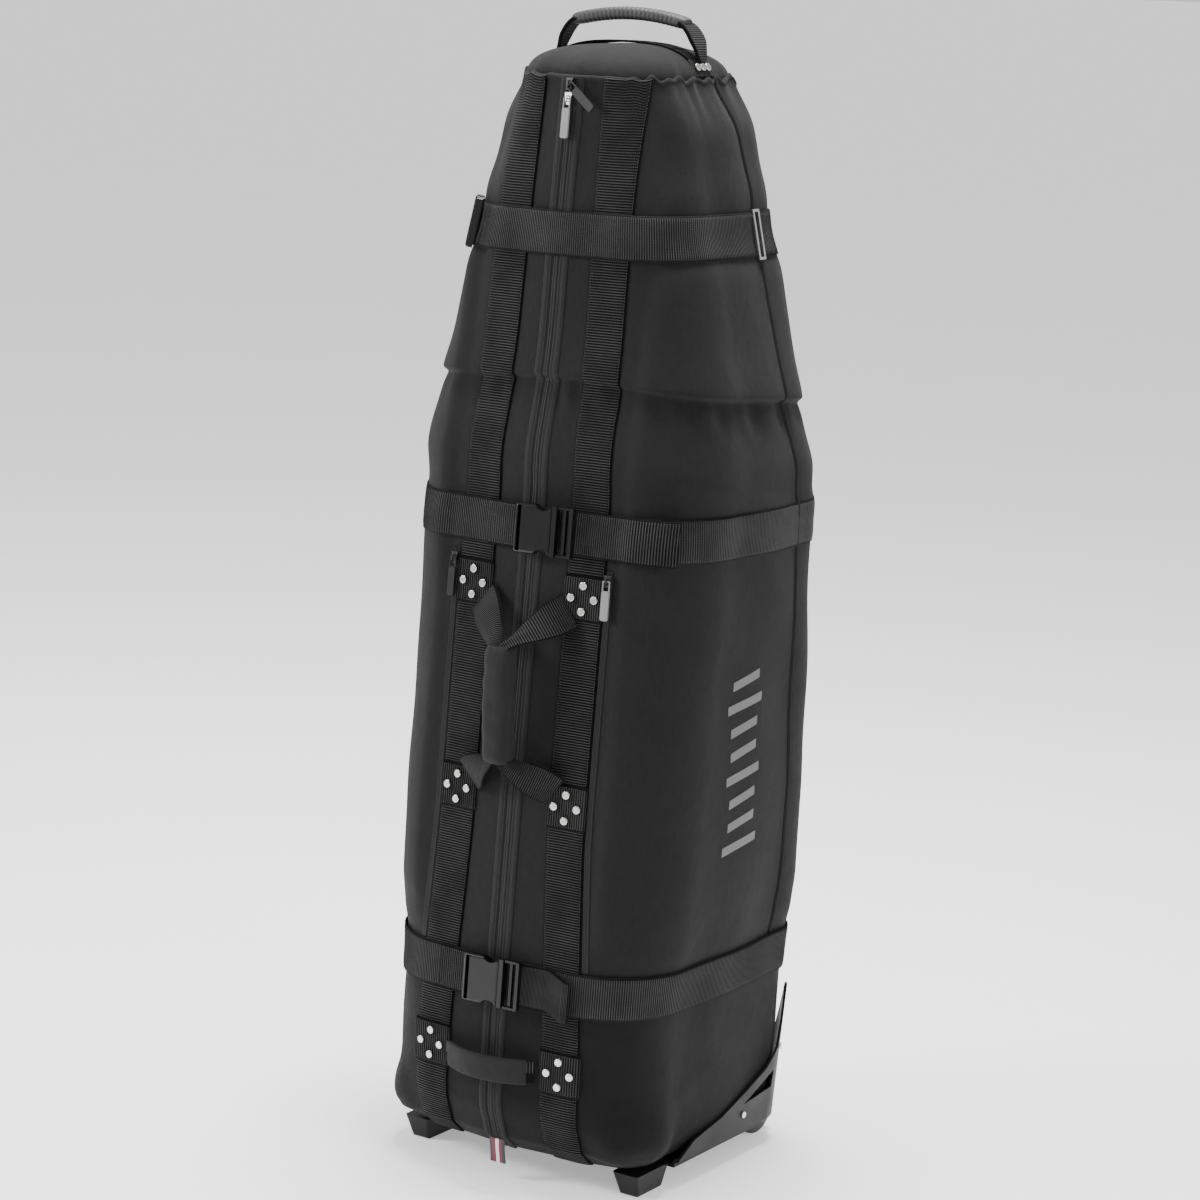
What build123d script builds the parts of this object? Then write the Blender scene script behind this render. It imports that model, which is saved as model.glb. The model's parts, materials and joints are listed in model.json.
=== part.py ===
"""Golf travel case: a tall soft bag on two wheels and two feet, with webbing straps and handles.

Everything is drawn in the bag's own frame: X across the bag, -Y towards its zipped front, +Z up,
with the floor at z = 0. The finished pieces are moved along Y so that the box round the whole
case is centred on the origin.
"""
from build123d import *
from math import cos, radians, sin, sqrt
import os

# ---------------------------------------------------------------- driving dimensions, millimetres
HALF_WIDTH = 190.0
RIM = 1207.0
BACK_REACH = 180.0
# The bag's outline at each level: height, half width, reach to the front, reach to the back,
# front corner radius, back corner radius.
LEVELS = [
    (27.0, HALF_WIDTH - 40, 126.0, BACK_REACH - 28, 62.0, 40.0),
    (34.0, HALF_WIDTH - 30, 148.0, BACK_REACH - 23, 70.0, 44.0),
    (52.0, HALF_WIDTH - 20, 168.0, BACK_REACH - 18, 80.0, 46.0),
    (90.0, HALF_WIDTH - 14, 182.0, BACK_REACH - 15, 88.0, 48.0),
    (196.0, HALF_WIDTH - 11, 178.0, BACK_REACH - 9, 90.0, 48.0),
    (434.0, HALF_WIDTH - 4, 160.0, BACK_REACH, 92.0, 50.0),
    (735.0, HALF_WIDTH, 134.0, BACK_REACH - 17, 92.0, 50.0),
    (884.0, HALF_WIDTH - 12, 117.0, BACK_REACH - 41, 88.0, 48.0),
    (RIM - 127, HALF_WIDTH - 57, 99.0, BACK_REACH - 47, 68.0, 46.0),
    (RIM, HALF_WIDTH - 92, 86.0, BACK_REACH - 70, 60.0, 42.0),
    (RIM + 21, HALF_WIDTH - 104, 74.0, BACK_REACH - 82, 54.0, 38.0),
    (RIM + 33, HALF_WIDTH - 128, 50.0, BACK_REACH - 106, 40.0, 30.0),
    (RIM + 37, HALF_WIDTH - 154, 24.0, BACK_REACH - 132, 22.0, 20.0),
]
CROWN_FRONT = 6.0
CROWN_SIDE = 4.0
CROWN_BACK = 3.0

WALL = 5.0
BAG_BOTTOM = LEVELS[0][0]
SOLE_TOP = LEVELS[1][0]
TRAY_TOP = LEVELS[4][0]
WAIST = 728.0
DOME_TOP = LEVELS[-1][0]
SEAM_GAP = 0.3
BACK_SEAM = 42.0

WEBBING = 48.0
WEBBING_T = 1.8
SKIN_GAP = 0.3
SKID_TOP = 184.0
LOWER_BAND_Z = SKID_TOP + 24 + WEBBING / 2
UPPER_BAND_Z = WAIST
TOP_STRAP_Z = RIM - 165
INNER_STRAP_Z = 620.0
BOARD_T = 3.0
TOP_PAD_T = 26.0

STRIP_X_BASE = 86.0
STRIP_X_LOWER = 72.0
STRIP_X_TOP = 60.0
STRIP_T = 1.4

ZIP_TAPE_W = 30.0
ZIP_TAPE_T = 1.2
ZIP_COIL_W = 6.0
ZIP_COIL_T = 1.9
POCKET_ZIP_GAP = 1.2
POCKET_ZIP_W = 7.0
POCKET_ZIP_Z = (LOWER_BAND_Z + WEBBING / 2 + 2, UPPER_BAND_Z - WEBBING / 2 - 12)

PATCH = WEBBING + 1
PATCH_T = 1.6
PATCH_LIFT = 2.1
PATCHES = [(STRIP_X_LOWER, 660.0), (STRIP_X_LOWER, 434.0), (STRIP_X_BASE, 142.0)]
RIVET_D = 9.0
RIVET_H = 1.8
RIVET_PITCH = 14.0
TOP_PATCH = (22.0, 34.0)

WHEEL_X = HALF_WIDTH - 52
WHEEL_Y = 143.0
WHEEL_D = 62.0
WHEEL_W = 24.0
HUB_D = 42.0
BEARING_D = 22.0
BEARING_W = 7.0
AXLE_D = 8.0
RUN_CLEAR = 0.05
FIT_CLEAR = 0.05
WELL_SIDE_GAP = 4.0
WELL_RADIAL_GAP = 6.0
SKID_WALL = 3.0
SKID_GAP = 0.6
# The skid's flank at two levels: height, half width, reach to the back.
SKID_LOW = (30.0, HALF_WIDTH - 16, BACK_REACH - 15)
SKID_HIGH = (SKID_TOP, HALF_WIDTH - 7.5, BACK_REACH - 7.5)
SKID_CORNER = 46.0
SKID_FLOOR_Z = 22.6

FOOT_X = HALF_WIDTH - 47
FOOT_W = 23.0
FOOT_TOP_W = 34.0
FOOT_FRONT = -122.0
FOOT_BACK = -64.0

BUCKLE_W = WEBBING + 6
BUCKLE_SOCKET = 46.0
BUCKLE_PLUG = 26.0
BUCKLE_LOW = 4.4
BUCKLE_HIGH = 16.0
BUCKLE_WALL = 1.8
PLUG_LOW = 8.2
PLUG_CLEAR = 0.5
PRONG_L = 24.0
PRONG_W = 3.6
PRONG_OUT = BUCKLE_W / 2 - 6
BUCKLE_SLOT = 4.5
UPPER_MOUTH_X = 33.0
LOWER_MOUTH_X = 11.0
TOP_BUCKLE_TURN = 36.0
TOP_MOUTH_U = 8.0
TAIL_LIFT = 4.3
TAB_L = 44.0
RING_Y = 63.0
RING_L = 13.0
RING_T = 2.6
UPPER_TAIL_Y = -88.0
LOWER_TAIL_X = 95.0

SLIDER_W = 9.0
SLIDER_L = 13.0
SLIDER_H = 4.0
SLIDER_LIFT = 3.4
PULL_W = 9.0
PULL_T = 2.6
PULL_L = 42.0
PULL_LINK = 10.0
PULL_WIRE = 1.2
END_PULL_TURN = 52.0
END_SLIDER_GAP = 2.5
MAIN_SLIDER_Z = RIM - 24
POCKET_SLIDER_Z = POCKET_ZIP_Z[1] - 10
RIBBON = (14.0, 1.6, 27.0)
RIBBON_TOP = 46.0

HAUL_Y = -186.0
HAUL_Z = (478.0, 606.0)
GRIP_D = 34.0
GRAB_REACH = 208.0
GRAB_H = 28.0
GRAB_T = 7.0
GRAB_CLEAR = 4.3
TOP_HANDLE_Y = 22.0
TOP_LEG_X = HALF_WIDTH - 98
TOP_LEG_W = 16.0
TOP_LEG_CLEAR = 7.5
TOP_GRIP_HALF = TOP_LEG_X - 19
TOP_GRIP_D = 20.0
TOP_GRIP_RISE = 9.0
TOP_HANDLE_TOP = RIM + 76
Y_SHIFT = (GRAB_REACH - BACK_REACH) / 2


# ---------------------------------------------------------------- the bag's outline
def level_at(z):
    """Half width, front, back and corner radii of the bag at height z, straight between levels."""
    low = LEVELS[0]
    for high in LEVELS[1:]:
        if z <= high[0]:
            break
        low = high
    t = 0.0 if high[0] == low[0] else (z - low[0]) / (high[0] - low[0])
    t = max(0.0, min(1.0, t))
    return [a + (b - a) * t for a, b in zip(low[1:], high[1:])]


def outline(z, grow):
    """The bag's outline at height z as a face, grown outwards by grow."""
    half, front, back, r_front, r_back = level_at(z)
    half, front, back = half + grow, front + grow, back + grow
    r_front, r_back = r_front + grow, r_back + grow
    side = half - CROWN_SIDE
    near, far = front - CROWN_FRONT, back - CROWN_BACK
    diagonal = 1 - sqrt(0.5)
    a = (half - r_front, -near)
    b = (side, -near + r_front)
    ab = (side - r_front * diagonal, -near + r_front * diagonal)
    c = (side, far - r_back)
    d = (half - r_back, far)
    cd = (side - r_back * diagonal, far - r_back * diagonal)
    middle = (half, (b[1] + c[1]) / 2)
    arcs = [
        ((-a[0], a[1]), (0, -front), a), (a, ab, b), (b, middle, c), (c, cd, d),
        (d, (0, back), (-d[0], d[1])), ((-d[0], d[1]), (-cd[0], cd[1]), (-c[0], c[1])),
        ((-c[0], c[1]), (-middle[0], middle[1]), (-b[0], b[1])),
        ((-b[0], b[1]), (-ab[0], ab[1]), (-a[0], a[1])),
    ]
    edges = [ThreePointArc(*[(x, y, z) for x, y in arc]) for arc in arcs]
    return Face(Wire(edges))


def block(z0, z1, grow=0.0):
    """Solid of the bag's outline between two heights."""
    heights = [z0] + [level[0] for level in LEVELS if z0 < level[0] < z1] + [z1]
    return loft([outline(z, grow) for z in heights], ruled=True)


def skin(z0, z1, inner, outer):
    """Layer that lies on the bag between two heights, from one growth to another."""
    return block(z0, z1, outer) - block(z0 - 1, z1 + 1, inner)


def span(x0, x1, y0, y1, z0, z1):
    """Box from its lowest to its highest corner."""
    size = Box(x1 - x0, y1 - y0, z1 - z0)
    return Pos((x0 + x1) / 2, (y0 + y1) / 2, (z0 + z1) / 2) * size


def front_y(x, z, grow=0.0):
    """Y of the bag's front surface at x and z."""
    half, front, back, r_front, r_back = level_at(z)
    flat = half - r_front
    if abs(x) <= flat:
        return -front - grow + CROWN_FRONT * (x / flat) ** 2
    centre = (half - CROWN_SIDE - r_front, -front + CROWN_FRONT + r_front)
    over = min(abs(x) - centre[0], r_front + grow)
    return centre[1] - sqrt((r_front + grow) ** 2 - over ** 2)


def on_front(x, z, lift=0.0):
    """Plane on the front surface: local X across, local Y up, local Z outwards."""
    across = Vector(2, front_y(x + 1, z) - front_y(x - 1, z), 0)
    up = Vector(0, front_y(x, z + 5) - front_y(x, z - 5), 10)
    out = across.cross(up).normalized()
    base = Vector(x, front_y(x, z), z)
    return Plane(origin=base + out * lift, x_dir=across, z_dir=out)


def mirrored(part):
    """The same piece on the other side of the bag."""
    return part.mirror(Plane.YZ)


def pair(part):
    """A piece and its mirror image, as two solids."""
    return Compound([*part.solids(), *mirrored(part).solids()])


def group(parts):
    """Several separate solids in one node."""
    return Compound([solid for part in parts for solid in part.solids()])


FAR = 400.0
TALL = 2000.0
WELL_X = (WHEEL_X - WHEEL_W / 2 - WELL_SIDE_GAP, WHEEL_X + WHEEL_W / 2 + WELL_SIDE_GAP)
WELL_Y = WHEEL_Y - WHEEL_D / 2 - WELL_RADIAL_GAP
WELL_TOP = WHEEL_D + WELL_RADIAL_GAP


def well_room(side, gap):
    """The space that a wheel well takes from the bag."""
    x0, x1 = WELL_X[0] - SKID_WALL - gap, WELL_X[1] + SKID_WALL + gap
    room = span(x0, x1, WELL_Y - SKID_WALL - gap, FAR, 0, WELL_TOP + SKID_WALL + gap)
    return room if side > 0 else mirrored(room)


# ---------------------------------------------------------------- sewn shell
def shell(z0, z1):
    """The bag's padded wall between two heights."""
    return skin(z0, z1, -WALL, 0)


def panel(z0, z1, side):
    """Front half and side of the bag, from the main zip round to the back seam."""
    edge = ZIP_TAPE_W / 6
    part = shell(z0, z1) & span(edge, FAR, -FAR, level_at(z1)[2] - BACK_SEAM, z0, z1)
    return part if side > 0 else mirrored(part)


def back_panel(z0, z1):
    """Back of the bag, between the two back seams."""
    return shell(z0, z1) & span(-FAR, FAR, level_at(z1)[2] - BACK_SEAM + SEAM_GAP, FAR, z0, z1)


def base_tray():
    """Tough lower sleeve with a floor, open to the bag above and cut for the wheel wells."""
    tray = block(BAG_BOTTOM, TRAY_TOP) - block(BAG_BOTTOM + WALL, TRAY_TOP + 1, -WALL)
    for side in (1, -1):
        tray -= well_room(side, SKID_GAP)
    return tray


def base_board():
    """Stiff board on the bag's floor."""
    low = BAG_BOTTOM + WALL + SEAM_GAP
    board = block(low, low + BOARD_T, -WALL - 2)
    for side in (1, -1):
        board -= well_room(side, SKID_GAP + 1)
    return board


def top_cap():
    """Domed top of the bag."""
    return block(RIM + SEAM_GAP, DOME_TOP) - block(RIM - 1, DOME_TOP - WALL, -WALL)


def top_pad():
    """Thick pad under the dome, over the club heads."""
    return block(RIM - 2 - TOP_PAD_T, RIM - 2, -WALL - 1)


def inner_strap():
    """Strap inside the bag that cinches the golf bag."""
    low, high = INNER_STRAP_Z - WEBBING / 2, INNER_STRAP_Z + WEBBING / 2
    return skin(low, high, -WALL - 3, -WALL - 1)


# ---------------------------------------------------------------- zips and webbing
def main_zip(width, inner, outer):
    """A strip of the main zip, from the rim to the bag's front bottom edge."""
    front = span(-width / 2, width / 2, -FAR, 0, 0, TALL)
    return skin(SOLE_TOP, RIM - 1, inner, outer) & front


STRIP_SPINE = [(STRIP_X_BASE, 0), (STRIP_X_BASE, 150), (STRIP_X_LOWER, 400), (STRIP_X_LOWER, 700),
               (STRIP_X_TOP, RIM)]
POCKET_ZIP_X = STRIP_X_LOWER + WEBBING / 2 + POCKET_ZIP_GAP + POCKET_ZIP_W / 2


def front_ribbon(offset, width):
    """Region in front of the bag that follows a webbing strip at a sideways offset."""
    outer, inner = offset + width / 2, offset - width / 2
    ring = [(x + outer, z) for x, z in STRIP_SPINE] + [(x + inner, z) for x, z in reversed(STRIP_SPINE)]
    plan = make_face(Polyline(*[(x, 0, z) for x, z in ring], close=True))
    return extrude(plan, amount=FAR, dir=(0, -1, 0))


def pocket_zips():
    """Two closed zips on the lower front, one beside each webbing strip."""
    low, high = POCKET_ZIP_Z
    strip = skin(low, high, SKIN_GAP, ZIP_COIL_T)
    return pair(strip & front_ribbon(POCKET_ZIP_X - STRIP_X_LOWER, POCKET_ZIP_W))


def webbing_strips():
    """Two long webbing strips down the front, spread a little towards the base."""
    layer = skin(SOLE_TOP, RIM - 1, SKIN_GAP, SKIN_GAP + STRIP_T)
    return pair(layer & front_ribbon(0, WEBBING))


def band(z_mid):
    """Webbing sewn right round the bag."""
    low, high = z_mid - WEBBING / 2, z_mid + WEBBING / 2
    return skin(low, high, PATCH_LIFT, PATCH_LIFT + WEBBING_T)


def anchor_patches():
    """Webbing squares that hold the ends of the front handles and the feet of the top handle."""
    parts = []
    for x, z in PATCHES:
        layer = skin(z - PATCH / 2, z + PATCH / 2, PATCH_LIFT, PATCH_LIFT + PATCH_T)
        parts.append(layer & span(x - PATCH / 2, x + PATCH / 2, -FAR, 0, 0, TALL))
    foot_pad = Box(*TOP_PATCH, PATCH_T, align=(Align.CENTER, Align.CENTER, Align.MIN))
    parts.append(top_foot_plane(0, 0.4).location * foot_pad)
    return pair(group(parts))


def rivet():
    """One domed rivet head, standing on its own XY plane."""
    head = Cylinder(RIVET_D / 2, RIVET_H, align=(Align.CENTER, Align.CENTER, Align.MIN))
    return fillet(head.edges().group_by(Axis.Z)[-1], RIVET_H * 0.6)


def rivets():
    """Four rivets in a diamond on every patch, and three at each foot of the top handle."""
    heads = []
    for x, z in PATCHES:
        for dx, dz in ((1, 0), (-1, 0), (0, 1), (0, -1)):
            px, pz = x + dx * RIVET_PITCH, z + dz * RIVET_PITCH
            heads.append(on_front(px, pz, PATCH_LIFT + PATCH_T + 0.2).location * rivet())
    for step in (-1, 0, 1):
        spot = top_foot_plane(step * RIVET_PITCH * 0.7, 2.4)
        heads.append(spot.location * rivet())
    return pair(group(heads))


# ---------------------------------------------------------------- wheels and skids
def skid_outline(z, half, back, grow):
    """Rounded corner outline of the skid at one height, drawn for the right side."""
    corner = SKID_CORNER + grow
    x, y = half + grow, back + grow
    near = -FAR
    edges = [
        Line((0, near, z), (x, near, z)),
        Line((x, near, z), (x, y - corner, z)),
        ThreePointArc((x, y - corner, z), (x - corner * 0.293, y - corner * 0.293, z), (x - corner, y, z)),
        Line((x - corner, y, z), (0, y, z)),
        Line((0, y, z), (0, near, z)),
    ]
    return Face(Wire(edges))


def skid_block(grow):
    """Solid inside the skid's outer face."""
    return loft([skid_outline(*SKID_LOW, grow), skid_outline(*SKID_HIGH, grow)], ruled=True)


def skid(side):
    """Corner guard, wheel well, runner and foot of one side, moulded as one piece."""
    low, high = SKID_LOW[0], SKID_HIGH[0]
    wrap = skid_block(0) - skid_block(-SKID_WALL)
    profile = [(190, high), (150, high), (143, 144), (133, 113), (110, 93), (68, 76), (20, 59),
               (-34, 48), (FOOT_BACK - 2, low), (190, low)]
    flank = extrude(make_face(Polyline(*[(0, y, z) for y, z in profile], close=True)), amount=FAR)
    corner_x = WELL_X[0] - SKID_WALL
    guard = wrap & flank & span(corner_x, FAR, -FAR, FAR, 0, FAR)
    back_cut = [(0, 76), (corner_x + 22, 76), (SKID_HIGH[1] - 12, high + 1), (0, high + 1)]
    trim = extrude(make_face(Polyline(*[(x, 0, z) for x, z in back_cut], close=True)), amount=-FAR)
    guard -= trim
    slot = [(127, 88), (124, 68), (66, 62)]
    window = make_face(Polyline(*[(WELL_X[1], y, z) for y, z in slot], close=True))
    guard -= extrude(window, amount=FAR, dir=(1, 0, 0))
    well = span(WELL_X[0] - SKID_WALL, WELL_X[1] + SKID_WALL, WELL_Y - SKID_WALL, FAR / 2,
                SKID_FLOOR_Z, WELL_TOP + SKID_WALL)
    floor = span(WELL_X[0] - SKID_WALL, SKID_LOW[1], FOOT_BACK, FAR / 2, SKID_FLOOR_Z, BAG_BOTTOM - 0.6)
    floor_room = extrude(skid_outline(SKID_FLOOR_Z - 1, SKID_LOW[1], SKID_LOW[2], -6), amount=200)
    body = guard + (well & skid_tall()) + (floor & floor_room) + skirt() + foot()
    hollow = span(*WELL_X, WELL_Y, FAR, -1, WELL_TOP)
    body -= hollow
    axle = Pos(WHEEL_X, WHEEL_Y, WHEEL_D / 2) * Rot(0, 90, 0) * Cylinder(AXLE_D / 2 + FIT_CLEAR, 60)
    body -= axle
    return body if side > 0 else mirrored(body)


def skid_tall():
    """The skid's outer form carried down to the floor level of the well."""
    low = skid_outline(SKID_FLOOR_Z - 1, SKID_LOW[1], SKID_LOW[2], 0)
    return extrude(low, amount=FAR / 4)


def skirt():
    """Sloping lower edge that joins the skid's flank to its floor."""
    top, bottom = SKID_LOW[0] + 3, SKID_FLOOR_Z
    outer = loft([skid_outline(bottom, SKID_LOW[1] - 10, SKID_LOW[2] - 10, 0),
                  skid_outline(top, SKID_LOW[1] - 0.5, SKID_LOW[2] - 0.5, 0)], ruled=True)
    inner = loft([skid_outline(bottom - 1, SKID_LOW[1] - 14, SKID_LOW[2] - 14, 0),
                  skid_outline(top + 1, SKID_LOW[1] - 4, SKID_LOW[2] - 4, 0)], ruled=True)
    return (outer - inner) & span(WELL_X[0] - SKID_WALL, FAR, FOOT_BACK, FAR, 0, FAR)


def foot():
    """Tapered foot at the front end of the runner."""
    top = Pos(FOOT_X, (FOOT_FRONT + FOOT_BACK) / 2, BAG_BOTTOM - 0.6)
    low = Pos(FOOT_X, (FOOT_FRONT + FOOT_BACK) / 2 + 2, 0)
    length = FOOT_BACK - FOOT_FRONT
    faces = [low * Rectangle(FOOT_W, length - 6), top * Rectangle(FOOT_TOP_W, length + 6)]
    return fillet(loft(faces, ruled=True).edges().filter_by(lambda e: e.length < 30 and e.length > 20), 4)


def skid_screws():
    """Round screw heads on the skid's flank, two on each side."""
    heads = []
    for y, z in ((142.0, 112.0), (66.0, 50.0)):
        t = (z - SKID_LOW[0]) / (SKID_HIGH[0] - SKID_LOW[0])
        x = SKID_LOW[1] + (SKID_HIGH[1] - SKID_LOW[1]) * t
        if y > SKID_HIGH[2] - SKID_CORNER:
            back = SKID_LOW[2] + (SKID_HIGH[2] - SKID_LOW[2]) * t
            into = y - (back - SKID_CORNER)
            x += sqrt(SKID_CORNER ** 2 - into ** 2) - SKID_CORNER
            turn = into / SKID_CORNER
        else:
            turn = 0.0
        normal = Vector(sqrt(1 - turn ** 2), turn, 0)
        spot = Plane(origin=Vector(x, y, z) + normal * 0.7, z_dir=normal)
        heads.append(spot.location * scale(rivet(), 0.9))
    return pair(group(heads))


def axle_pins():
    """Steel pins that the wheels turn on, held in the walls of the wells."""
    length = WELL_X[1] - WELL_X[0] + 2 * SKID_WALL
    pin = Pos(WHEEL_X, WHEEL_Y, WHEEL_D / 2) * Rot(0, 90, 0) * Cylinder(AXLE_D / 2, length)
    return pair(pin)


def wheel_part(side, part):
    """Turn a wheel piece drawn about Z onto its axle."""
    placed = Pos(side * WHEEL_X, WHEEL_Y, WHEEL_D / 2) * Rot(0, 90, 0) * part
    return placed


def tyre(side):
    """Soft tread of a wheel."""
    ring = Cylinder(WHEEL_D / 2, WHEEL_W)
    ring = fillet(ring.edges(), 5)
    return wheel_part(side, ring - Cylinder(HUB_D / 2, WHEEL_W + 2))


def hub(side):
    """Wheel core with lightening holes and seats for two bearings."""
    core = Cylinder(HUB_D / 2 - FIT_CLEAR, WHEEL_W - 4) - Cylinder(AXLE_D / 2 + 2, WHEEL_W)
    for end in (1, -1):
        seat_mid = end * (WHEEL_W / 2 - 2 - BEARING_W / 2)
        core -= Pos(0, 0, seat_mid) * Cylinder(BEARING_D / 2 + FIT_CLEAR, BEARING_W)
    for turn in range(5):
        core -= Rot(0, 0, turn * 72) * Pos((HUB_D + BEARING_D) / 4, 0, 0) * Cylinder(3, WHEEL_W)
    return wheel_part(side, core)


def bearings(side):
    """Two ball bearings, shown as plain rings."""
    ring = Cylinder(BEARING_D / 2, BEARING_W - 0.1) - Cylinder(AXLE_D / 2 + RUN_CLEAR, BEARING_W)
    places = [Pos(0, 0, end * (WHEEL_W / 2 - 2 - BEARING_W / 2)) * ring for end in (1, -1)]
    return group([wheel_part(side, place) for place in places])


# ---------------------------------------------------------------- buckles
def top_corner(out, z):
    """Point of the bag's left front corner that faces along out, at height z."""
    half, front, back, r_front, r_back = level_at(z)
    return Vector(-(half - CROWN_SIDE - r_front), -front + CROWN_FRONT + r_front, z) + out * r_front


def top_buckle_plane():
    """Plane at the mouth of the top strap's buckle, on the bag's left front corner."""
    turn = radians(TOP_BUCKLE_TURN)
    out = Vector(-cos(turn), -sin(turn), 0)
    along = Vector(sin(turn), -cos(turn), 0)
    rise = top_corner(out, TOP_STRAP_Z + 5) - top_corner(out, TOP_STRAP_Z - 5)
    rise -= along * rise.dot(along)
    origin = top_corner(out, TOP_STRAP_Z) + along * TOP_MOUTH_U
    return Plane(origin=origin, x_dir=along, z_dir=along.cross(rise))


def front_buckle_plane(x, z):
    """Plane at the mouth of a front buckle, tangent to the front a little past the mouth."""
    tangent = on_front(x + BUCKLE_PLUG / 2, z)
    return Plane(origin=tangent.origin - tangent.x_dir * (BUCKLE_PLUG / 2), x_dir=tangent.x_dir,
                 z_dir=tangent.z_dir)


BUCKLES = {
    "upper": front_buckle_plane(UPPER_MOUTH_X, UPPER_BAND_Z),
    "lower": front_buckle_plane(LOWER_MOUTH_X, LOWER_BAND_Z),
    "top": top_buckle_plane(),
}


def socket(plane):
    """Female half of a side-release buckle, with a bar for its webbing."""
    half = BUCKLE_W / 2
    body = span(-BUCKLE_SOCKET, 0, -half, half, BUCKLE_LOW, BUCKLE_HIGH)
    body = fillet(body.edges().filter_by(Axis.X), 4)
    body = fillet(body.edges().filter_by(Axis.Z), 3)
    room_half = PRONG_OUT + PLUG_CLEAR
    low, high = PLUG_LOW - PLUG_CLEAR, BUCKLE_HIGH - BUCKLE_WALL
    body -= span(-PRONG_L - 3, 1, -room_half, room_half, low, high)
    for side in (1, -1):
        body -= Pos(-11, side * (half + 6.5), (BUCKLE_LOW + BUCKLE_HIGH) / 2) * Cylinder(12.5, 30)
    slot_end = -BUCKLE_SOCKET + 3.5
    body -= span(slot_end, slot_end + BUCKLE_SLOT, -WEBBING / 2 - 0.6, WEBBING / 2 + 0.6, 0, 30)
    body -= span(-BUCKLE_SOCKET - 1, slot_end + BUCKLE_SLOT, -WEBBING / 2 - 0.6, WEBBING / 2 + 0.6, 0, 7)
    return plane.location * body


def plug(plane):
    """Male half: a flange with a centre tongue, and the ladder that holds the webbing."""
    half = BUCKLE_W / 2
    low, high = PLUG_LOW, BUCKLE_HIGH - BUCKLE_WALL - PLUG_CLEAR
    body = span(0.5, 6, -half, half, low, BUCKLE_HIGH)
    body += span(-PRONG_L + 4, 1, -3, 3, low, high)
    for side in (1, -1):
        mid = side * (half - 1.3)
        body += span(5, BUCKLE_PLUG - 1, mid - 1.3, mid + 1.3, low, BUCKLE_HIGH - 2)
    body += span(12, 15.5, -half + 1, half - 1, low, low + 3)
    body += span(BUCKLE_PLUG - 4, BUCKLE_PLUG, -half, half, low, BUCKLE_HIGH - 1)
    return plane.location * fillet(body.edges().filter_by(Axis.Z).group_by(Axis.X)[-1], 1.5)


def prong(plane, side):
    """One springy side arm of a plug, with a rounded catch that shows in the socket's waist."""
    low, high = PLUG_LOW + 0.2, BUCKLE_HIGH - BUCKLE_WALL - PLUG_CLEAR
    arm = span(-PRONG_L, 0.1, PRONG_OUT - PRONG_W, PRONG_OUT, low, high)
    arm = fillet(arm.edges().filter_by(Axis.Z).group_by(Axis.X)[0], 1.4)
    if side < 0:
        arm = arm.mirror(Plane.XZ)
    return plane.location * arm


def strap_ends():
    """Tabs sewn to the left of the two front buckles, and the free ends to their right."""
    parts = []
    half = WEBBING / 2
    for mouth, z_mid, tail_x, tail_y in ((UPPER_MOUTH_X, UPPER_BAND_Z, FAR, UPPER_TAIL_Y),
                                         (LOWER_MOUTH_X, LOWER_BAND_Z, LOWER_TAIL_X, 0)):
        layer = skin(z_mid - half, z_mid + half, TAIL_LIFT, TAIL_LIFT + STRIP_T)
        left = mouth - BUCKLE_SOCKET
        parts.append(layer & span(left - TAB_L, left + 2, -FAR, 0, 0, TALL))
        parts.append(layer & span(mouth + 9, tail_x, -FAR, tail_y, 0, TALL))
    return group(parts)


def on_right(y, z, lift):
    """Plane on the bag's right side: local X towards the back, local Z outwards."""
    up = Vector(level_at(z + 5)[0] - level_at(z - 5)[0], 0, 10)
    out = Vector(0, 1, 0).cross(up).normalized()
    return Plane(origin=Vector(level_at(z)[0], y, z) + out * lift, x_dir=(0, 1, 0), z_dir=out)


def strap_ring():
    """Flat metal loop on the top strap, at the bag's right side."""
    half = WEBBING / 2 + 3.5
    ring = span(-RING_L / 2, RING_L / 2, -half, half, 0, RING_T)
    ring -= span(3 - RING_L / 2, RING_L / 2 - 3, 3 - half, half - 3, -1, RING_T + 1)
    ring = fillet(ring.edges().filter_by(Axis.Z), 1.2)
    return on_right(RING_Y, TOP_STRAP_Z, PATCH_LIFT + WEBBING_T + 0.6).location * ring


def ribbon_tab():
    """Folded ribbon at the lower end of the main zip."""
    width, thick, length = RIBBON
    y = front_y(0, RIBBON_TOP, ZIP_COIL_T + 2)
    return span(-width / 2, width / 2, y - thick, y, RIBBON_TOP - length, RIBBON_TOP)


# ---------------------------------------------------------------- zip sliders and pulls
def slider_spots():
    """Name and plane of every zip slider, with local Y up its zip."""
    return {
        "main_slider": on_front(0, MAIN_SLIDER_Z, SLIDER_LIFT),
        "end_slider": on_front(0, MAIN_SLIDER_Z + SLIDER_L + END_SLIDER_GAP, SLIDER_LIFT),
        "pocket_slider_left": on_front(-POCKET_ZIP_X, POCKET_SLIDER_Z, SLIDER_LIFT),
        "pocket_slider_right": on_front(POCKET_ZIP_X, POCKET_SLIDER_Z, SLIDER_LIFT),
    }


def slider(plane):
    """Zip slider: a tapered body with a bridge that holds the pull."""
    wide, narrow, end = SLIDER_W / 2, SLIDER_W / 2 - 1.5, SLIDER_L / 2
    plan = make_face(Polyline((wide, end), (-wide, end), (-narrow, -end), (narrow, -end), close=True))
    body = extrude(plan, amount=SLIDER_H / 2, dir=(0, 0, 1))
    bridge = span(-0.7, 0.7, -3.3, 3.3, SLIDER_H / 4, SLIDER_H + 2)
    bridge -= span(-2, 2, -2.3, 2.3, SLIDER_H / 2, SLIDER_H + 0.6)
    return plane.location * (body + bridge)


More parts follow.
